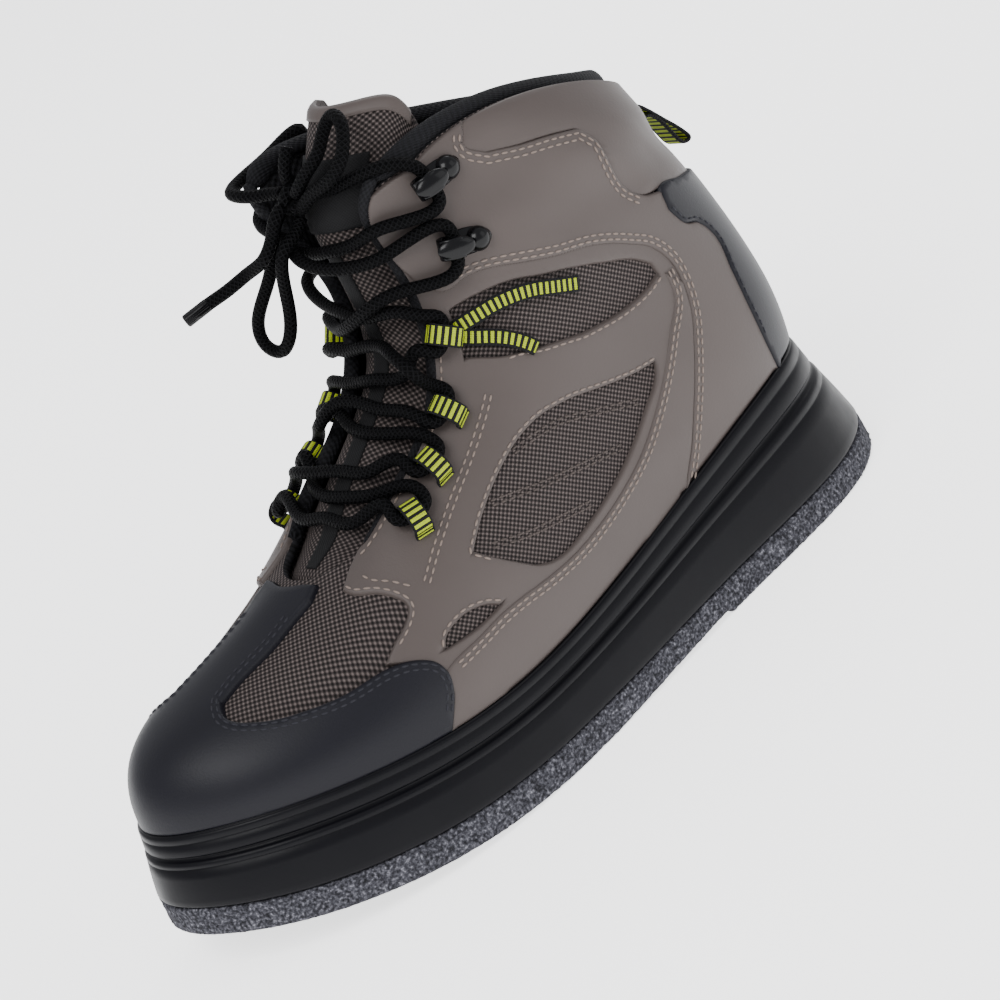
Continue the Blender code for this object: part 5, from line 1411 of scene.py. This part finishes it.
# The top corners are rounded: the outer lines end lower than the middle one.
ends = 1.0 - 0.115 * np.abs(np.linspace(-1.0, 1.0, CLOTH_ACROSS)) ** 2.6
cloth = [natural_curve(up_knots, line, up_fine * end) for line, end in zip(lines, ends)]
cloth = np.stack(cloth, axis=1)
cloth_out = unit(np.cross(np.gradient(cloth, axis=0), np.gradient(cloth, axis=1)))
share = np.interp(across_fine, np.arange(9.0), (0.0, 0.4, 0.6, 1.0, 1.0, 1.0, 0.6, 0.4, 0.0))
half_thick = (TONGUE_EDGE + (TONGUE - TONGUE_EDGE) * share) / 2.0
half_rows = np.tile(half_thick, (len(up_fine), 1))
half_rows[-1] *= 0.35
half_rows[-2] *= 0.8
cloth_up = lengths_along(cloth[:, CLOTH_ACROSS // 2]) * 1000.0
cloth_across = np.median([lengths_along(row) for row in cloth[60:]], axis=0) * 1000.0


def tongue_sheet(name, r0, r1, c0, c1, low, high, material, nodes=()):
    """Closed slab over rows r0 to r1 and columns c0 to c1, from one height to another."""
    sheet = cloth[r0:r1, c0:c1]
    out = cloth_out[r0:r1, c0:c1]
    half = half_rows[r0:r1, c0:c1, None]
    rows, columns = sheet.shape[:2]
    above = sheet + out * (half + high)
    below = sheet + out * (half + low if low is not None else -half)
    uv = np.stack(np.meshgrid(cloth_across[c0:c1], cloth_up[r0:r1]), axis=-1)
    shape = np.concatenate((above, below[:, ::-1], above[:, :1]), axis=1)
    uv_all = np.concatenate((uv, uv[:, ::-1], uv[:, :1]), axis=1)
    wide = shape.shape[1]
    faces = grid_faces(rows, wide)
    faces += rungs(0, 2 * columns - 1) + rungs((rows - 1) * wide, 2 * columns - 1)
    piece = new_piece(name, shape.reshape(-1, 3), faces, uv_all.reshape(-1, 2), material)
    finished(piece, nodes)


tongue_sheet("tongue_mesh", 0, CLOTH_UP, 0, CLOTH_ACROSS, None, 0.0, AIR_MESH, ["tongue"])
tongue_sheet("tongue_top_edge", 115, 120, 4, 61, -0.0006, 0.0007, LEATHER)
tongue_sheet("tongue_patch", 88, 107, 18, 46, -0.0006, 0.0008, PATCH)
tongue_sheet("tongue_band", 12, 84, 29, 36, -0.0006, 0.0007, PATCH)

# %% [markdown]
# ## Collar roll
# A padded knit tube is sewn over the top edge, from one side of the throat round the heel to the
# other. It grows thin at both ends.

# %% Collar roll
ROLL_OVERHANG = 0.02    # stations by which it passes its CAD piece
ROLL_TAPER = 0.12       # stations over which its ends swell up
roll_places = np.linspace(BINDING_START - ROLL_OVERHANG, ROUND - BINDING_START + ROLL_OVERHANG, 260)
roll_top = top_level(roll_places)
roll_out = normal_at(roll_places, roll_top)
base = upper_at(roll_places, roll_top) - roll_out * WALL / 2.0
crest = upper_at(roll_places, 5.0) - roll_out * WALL / 2.0
rise = crest - base
from_end = np.minimum(roll_places - roll_places[0], roll_places[-1] - roll_places)
end = np.clip(from_end / ROLL_TAPER, 0.0, 1.0)
swell = (0.35 + 0.65 * np.sqrt(1.0 - (1.0 - end) ** 2))[:, None]
angles = np.linspace(0.0, 2.0 * math.pi, 21)
rings = [base + rise * 0.5 + rise * 0.55 * math.cos(angle) * swell
         + roll_out * math.sin(angle) * (WALL / 2.0 + BINDING_SWELL * 1.35) * swell for angle in angles]
roll = lofted("collar_roll", rings, crest, angles * 3.0, COLLAR_KNIT)
finished(roll, ["collar_binding"])

# The knit runs on down both edges of the throat as a flat folded tape.
TAPE_LEVEL = 4.985
TAPE_HALF = 0.0021      # half its height, and how far it stands off the middle of the wall
TAPE_OUT = WALL / 2.0 + 0.0013
TAPE_SHIFT = WALL / 2.0 - 0.0008
TAPE_POINTS = 200
TAPE_END = 5.0          # points over which its ends grow thin
tape_places = np.linspace(2.75, 7.62, TAPE_POINTS)
angles = np.linspace(0.0, 2.0 * math.pi, 13)
from_end = np.minimum(np.arange(TAPE_POINTS), TAPE_POINTS - 1 - np.arange(TAPE_POINTS))
thin = np.clip(from_end / TAPE_END, 0.3, 1.0)[:, None]
for side, s in (("lateral", tape_places), ("medial", ROUND - tape_places)):
    edge, out = upper_at(s, TAPE_LEVEL), normal_at(s, TAPE_LEVEL)
    up = unit(edge - upper_at(s, 4.9))
    rings = [edge - out * TAPE_SHIFT + up * math.cos(angle) * TAPE_HALF * thin
             + out * math.sin(angle) * TAPE_OUT * thin for angle in angles]
    finished(lofted("throat_tape_" + side, rings, edge, angles * 1.5, COLLAR_KNIT), [])

# %% [markdown]
# ## Webbing
# A ribbon is a flat rounded section carried along a line. The lace loops are arches of it over
# the lace, three and a strap's end loop on each side.

# %% Ribbon helper and seats
# Section of a band: share of its width, share of its thickness.
BAND_SECTION = (
    (-0.5, 0.0), (-0.485, 0.38), (-0.42, 0.5), (-0.2, 0.5), (0.0, 0.5), (0.2, 0.5), (0.42, 0.5),
    (0.485, 0.38), (0.5, 0.0), (0.485, -0.38), (0.42, -0.5), (0.0, -0.5), (-0.42, -0.5),
    (-0.485, -0.38), (-0.5, 0.0),
)


def ribbon(name, centre, side, width, thickness, material):
    """Flat band along a centre line; side points across it, once or per point of the line."""
    ahead = unit(np.gradient(centre, axis=0))
    side = unit(side - ahead * (side * ahead).sum(1)[:, None])
    out = np.cross(ahead, side)
    rows = [centre + side * across * width + out * lift * thickness for across, lift in BAND_SECTION]
    return lofted(name, rows, centre, [across * width * 1000.0 for across, _ in BAND_SECTION], material)


ON_PANEL = CLEAR + PANEL + CLEAR


def seat(s, v, toward, lift=ON_PANEL):
    """Origin, forward, side and out of a small part on the panels."""
    a, b = directions(np.array([s]), np.array([v]))
    out = unit(np.cross(a, b))[0]
    b = b * (float(top_level(s)) - 1.0) / 4.0       # per even row, as in top_row
    forward = a[0] * toward[0] + b[0] * toward[1]
    forward = unit(forward - out * (out @ forward))
    return on_boot(s, v, lift), forward, np.cross(out, forward), out


LOOP_SEATS = ((4.01, 4.32), (4.47, 4.58), (4.95, 4.72), (5.58, 4.80))
ARCH = ((-0.56, -0.10), (-0.5, 0.0), (-0.5, 0.45), (-0.43, 0.76), (-0.24, 0.95), (0.0, 1.0),
        (0.24, 0.95), (0.43, 0.76), (0.5, 0.45), (0.5, 0.0), (0.56, -0.10))
for number, (s, v) in enumerate(LOOP_SEATS, 1):
    for side, station in (("lateral", s), ("medial", ROUND - s)):
        origin, forward, across, out = seat(station, v, (0.0, 1.0))
        line = np.array([origin + forward * u * (LOOP_WIDTH - WEBBING)
                         + out * (w * (LOOP_RISE - WEBBING) + WEBBING / 2.0) for u, w in ARCH])
        line = smooth_path(line, 0.0004)
        loop = ribbon("webbing_loop_%s_%d" % (side, number), line, across, LOOP_LENGTH, WEBBING,
                      LOOP_WEBBING)
        finished(loop, ["lace_loop_%s_%d" % (side, number)])

# %% [markdown]
# Each side has two straps: one slants back across the upper window, the other runs down in front
# of it. The heel pull is one band, folded in two and sewn to the counter.

# %% Straps and heel pull
STRAPS = {
    "upper": [(5.62, 4.72), (5.84, 4.38), (6.12, 4.06), (6.50, 3.78), (6.98, 3.50)],
    "lower": [(5.58, 4.66), (5.60, 4.48), (5.66, 4.18), (5.74, 3.80)],
}
for place, pairs in STRAPS.items():
    for side in ("lateral", "medial"):
        line = smooth_edge(pairs, closed=False, pitch=0.02)
        if side == "medial":
            line[:, 0] = ROUND - line[:, 0]
        centre = on_boot(line[:, 0], line[:, 1], ON_PANEL + WEBBING / 2.0)
        normal = normal_at(line[:, 0], line[:, 1])
        across = np.cross(normal, np.gradient(centre, axis=0))
        strap = ribbon("instep_strap_%s_%s" % (side, place), centre, across, 2.0 * STRAP_HALF,
                       WEBBING, STRAP_WEBBING)
        finished(strap, ["strap_%s_%s" % (side, place)])

PULL_REACH = 0.015
PULL_RISE = 0.0135
PULL_LINE = ((0.00, -0.76), (0.02, 0.0), (0.03, 0.72), (0.12, 0.88), (0.26, 0.90), (0.38, 0.74),
             (0.66, 0.0), (0.90, -0.72), (0.90, -0.90), (0.80, -0.90), (0.62, -0.50), (0.22, 0.52),
             (0.10, 0.50), (0.09, 0.0), (0.09, -0.76))
origin, up, across, out = seat(11.0, 3.42, (0.0, 1.0), CLEAR + CAP + CLEAR + WEBBING / 2.0)
line = smooth_path([origin + up * b * PULL_RISE + out * a * PULL_REACH for a, b in PULL_LINE], 0.0005)
pull = ribbon("heel_pull", line, across, PULL_WIDTH, WEBBING, PULL_WEBBING)
finished(pull, ["pull_loop"])

# %% [markdown]
# ## Hooks and eyelets
# The drain eyelets keep their CAD solids, with rounded edges by a bevel modifier, gunmetal paint
# and a disc of gauze inside.

# %% Hooks and eyelets
HOOKS = {
    "lateral_1": ((7.67, 4.62), (7.38, 4.79)),
    "lateral_2": ((6.83, 4.33), (6.38, 4.71)),
    "medial_1": ((ROUND - 8.20, 4.66), (ROUND - 7.90, 4.76)),
    "medial_2": ((ROUND - 7.06, 4.38), (ROUND - 6.79, 4.62)),
}
HOOK_LENGTH = 0.0130
HOOK_RISE = 0.0076
HOOK_BAND = 0.0068      # width and thickness of a hook's band
HOOK_SHEET = 0.0013
EYELET_SEATS = ((ROUND - 4.26, 1.31), (ROUND - 4.75, 1.29))
GAUZE_RADIUS = 0.0027
for name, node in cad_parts.items():
    if name.startswith("drain"):
        painted(node, GUNMETAL)
        rounding = node.modifiers.new("rounding", "BEVEL")
        rounding.width = 0.0004
        rounding.segments = 3
        rounding.limit_method = "ANGLE"
        rounding.angle_limit = math.radians(35.0)
        middle = sum((Vector(corner) for corner in node.bound_box), Vector()) / 8.0
        bpy.ops.object.select_all(action="DESELECT")
        bpy.ops.mesh.primitive_circle_add(vertices=24, radius=GAUZE_RADIUS, fill_type="NGON")
        gauze = bpy.context.object
        gauze.name = gauze.data.name = "gauze_" + name
        facing = Vector(normal_at(*EYELET_SEATS[int(name[-1]) - 1]))
        gauze.data.transform(Matrix.Translation(middle - facing * 0.0002)
                             @ facing.to_track_quat("Z", "Y").to_matrix().to_4x4())
        gauze.data.materials.append(LINING)
        finished(gauze, [])

# %% [markdown]
# A speed hook is a curled band with three domes: its plate, its rivet and its rounded tip. It
# points from the rivet to the throat, where its curl takes the lace.

# %% Speed hooks
def top_row(v, s):
    """Level on the even scale of rows, for directions on the panels."""
    return 1.0 + (v - 1.0) * 4.0 / (float(top_level(s)) - 1.0)


def hook_seat(name):
    """Seat of a hook, forward from its rivet to the throat."""
    rivet, curl = HOOKS[name]
    toward = (curl[0] - rivet[0], top_row(curl[1], curl[0]) - top_row(rivet[1], rivet[0]))
    return seat(*rivet, toward)


def dome(frame_axes, place, semi_axes):
    """A squashed sphere, set into the hook's own axes."""
    origin, forward, side, out = frame_axes
    piece = squashed_sphere(32, 18, semi_axes)
    turn = Matrix((forward, side, out)).transposed().to_4x4()
    middle = Vector(origin + forward * place[0] + out * place[1])
    piece.data.transform(Matrix.Translation(middle) @ turn)
    piece.data.shade_smooth()
    piece.data.materials.append(HOOK_BLACK)
    return piece


# The curl's line: forward from the rivet and out, in millimetres.
CURL = mm((-1.0, 0.5), (5.5, 0.6), (8.8, 1.0), (10.2, 3.0), (10.0, 5.6), (8.4, 7.3), (5.8, 7.8),
          (3.4, 7.5))
for name in HOOKS:
    axes = hook_seat(name)
    origin, forward, side, out = axes
    line = smooth_path([origin + forward * a + out * b for a, b in CURL], 0.0004)
    band = ribbon("speed_hook_" + name, line, side, HOOK_BAND, HOOK_SHEET, HOOK_BLACK)
    plate = dome(axes, (0.0010, 0.0004), (0.0084, 0.0044, 0.0016))
    rivet = dome(axes, (-0.0026, 0.0012), (0.0041, 0.0041, 0.0037))
    tip = dome(axes, (0.0056, 0.0070), (0.0062, 0.0036, 0.0019))
    finished(joined([band, plate, rivet, tip], "speed_hook_" + name), ["hook_" + name])

# %% [markdown]
# ## Crossings
# From one side of the knot to the other the lace is one run: down the throat in a zigzag, across at
# the vamp, and back up between the first crossings. Its anchors follow the loops and hooks; the
# points between are given in millimetres.

# %% Lace crossings
LOOP_TURN = ((0.0, 0.0006), (0.0054, 0.0025), (0.0054, 0.0080))     # up the throat, and forward
HOOK_SEAT = (0.41, 0.5)     # place of the lace in a hook, shares of its length and rise


def through_loop(number, side, rising):
    """Five points of the lace through a loop, run up or down the throat."""
    s, v = LOOP_SEATS[number - 1]
    origin, forward, along_throat, out = seat(s if side == "lateral" else ROUND - s, v, (0.0, 1.0))
    middle = origin + out * LOOP_RISE / 2.0
    up = -along_throat if along_throat[0] > 0.0 else along_throat
    points = [middle - up * a + forward * b for a, b in LOOP_TURN[:0:-1]]
    points += [middle + up * a + forward * b for a, b in LOOP_TURN]
    return np.array(points if rising else points[::-1])


def round_hook(name, rising):
    """Three points of the lace round a hook."""
    origin, forward, side, out = hook_seat(name)
    middle = origin + forward * HOOK_SEAT[0] * HOOK_LENGTH + out * HOOK_SEAT[1] * HOOK_RISE
    up = side if side[2] > 0.0 else -side
    reach = up * (HOOK_WIDTH / 2.0 + LACE * 0.55)
    turned = middle + forward * 0.0006
    points = [turned - reach, middle, turned + reach]
    return np.array(points if rising else points[::-1])


stretches = [
    mm((-7.5, -7.5, 184.5), (-8, -3, 184.5), (-9, 1, 184.5), (-12, 10, 186), (-17.5, 20, 187)),
    round_hook("lateral_1", False),
    mm((-8, 19, 170.5), (-3.5, 9, 168), (-1.5, 0, 167), (-1.5, -11, 166), (-2, -23, 167),
       (-7, -34, 168.5)),
    round_hook("medial_2", False),
    mm((-9, -33, 152), (-4, -25, 148), (-1, -13, 145), (0.8, 3, 143.5), (-2.5, 18, 143.5)),
    through_loop(4, "lateral", False),
    mm((5, 16, 126), (8, 5, 125), (8, -9, 123.5), (7, -18, 123)),
    through_loop(3, "medial", False),
    mm((15.5, -14, 116.5), (19.5, -5, 114.5), (21, 5, 113.5), (19.5, 15, 112.5)),
    through_loop(2, "lateral", False),
    mm((32.5, 14, 107), (34, 3, 107.5), (36, -10, 108), (36, -20, 107.5)),
    through_loop(1, "medial", False),
    mm((46.5, -14, 98), (47, 2, 98.5), (46.5, 15, 97.5)),
    through_loop(1, "lateral", True),
    mm((36.5, 20, 101.8), (40, 8, 102), (40.5, -4, 102.3), (36.5, -14, 102.5), (31, -21, 103.2)),
    through_loop(2, "medial", True),
    mm((20.5, -19, 116), (17.5, -11, 121.5), (15, -2, 121), (15, 8, 118.5), (14, 16, 117.5)),
    through_loop(3, "lateral", True),
    mm((8.5, 24, 128), (7.5, 17, 133.5), (3.5, 7, 134.5), (3, -3, 134), (3, -14, 132.5)),
    through_loop(4, "medial", True),
    mm((1, -15, 140), (5, -5, 142), (5.3, 3, 145), (3, 11, 148.5), (-3, 18, 150)),
    round_hook("lateral_2", True),
    mm((-6.5, 18, 162), (-1, 9, 161.5), (3, 0, 163), (4, -11, 167), (-0.5, -21.5, 171.5),
       (-4, -35, 176.5), (-16, -41, 179)),
    round_hook("medial_1", True),
    mm((-25, -41.5, 191), (-14, -41.5, 190), (-4, -40, 189.5), (0.5, -34, 189.5), (-1, -27, 188),
       (-4, -21, 187), (-5, -16.5, 186.5)),
]
crossings_path = smooth_path(np.concatenate(stretches), 0.0012)
crossings = tube("lace_through_loops", crossings_path, LACE, LACE_BRAID, 12)
finished(crossings, ["lace_crossings"])
print("lace between the knot's two sides", round(float(lengths_along(crossings_path)[-1]), 3), "m")

# %% [markdown]
# ## Floor and light
# The photo has a white ground and soft light from the upper left, with a weak edge from the right.

# %% Floor, lights and world
bpy.ops.object.select_all(action="DESELECT")
bpy.ops.mesh.primitive_plane_add(size=6.0)
floor = bpy.context.object
floor.name = floor.data.name = "floor"
FLOOR_WHITE, tree, shader = new_material("floor_white", (0.90, 0.90, 0.90), 0.9)
shader.inputs["Emission Color"].default_value = (1.0, 1.0, 1.0, 1.0)
shader.inputs["Emission Strength"].default_value = 1.8
floor.data.materials.append(FLOOR_WHITE)


def soft_light(name, place, size, power, aim=(0.0, 0.0, 0.08)):
    """Square area light turned to the boot."""
    data = bpy.data.lights.new(name, "AREA")
    data.size = size
    data.energy = power
    lamp = bpy.data.objects.new(name, data)
    lamp.location = place
    lamp.rotation_euler = (Vector(aim) - Vector(place)).to_track_quat("-Z", "Y").to_euler()
    bpy.context.scene.collection.objects.link(lamp)


soft_light("key_light", (0.9, 0.5, 1.2), 0.8, 18.0)
soft_light("fill_light", (-0.7, 1.3, 0.7), 1.0, 4.0)
soft_light("edge_light", (-0.9, -0.5, 0.9), 0.6, 5.0)
world = bpy.data.worlds.new("studio")
world.use_nodes = True
background = world.node_tree.nodes["Background"]
background.inputs["Color"].default_value = (0.95, 0.96, 1.0, 1.0)
background.inputs["Strength"].default_value = 0.9
bpy.context.scene.world = world
print("floor and lights set")
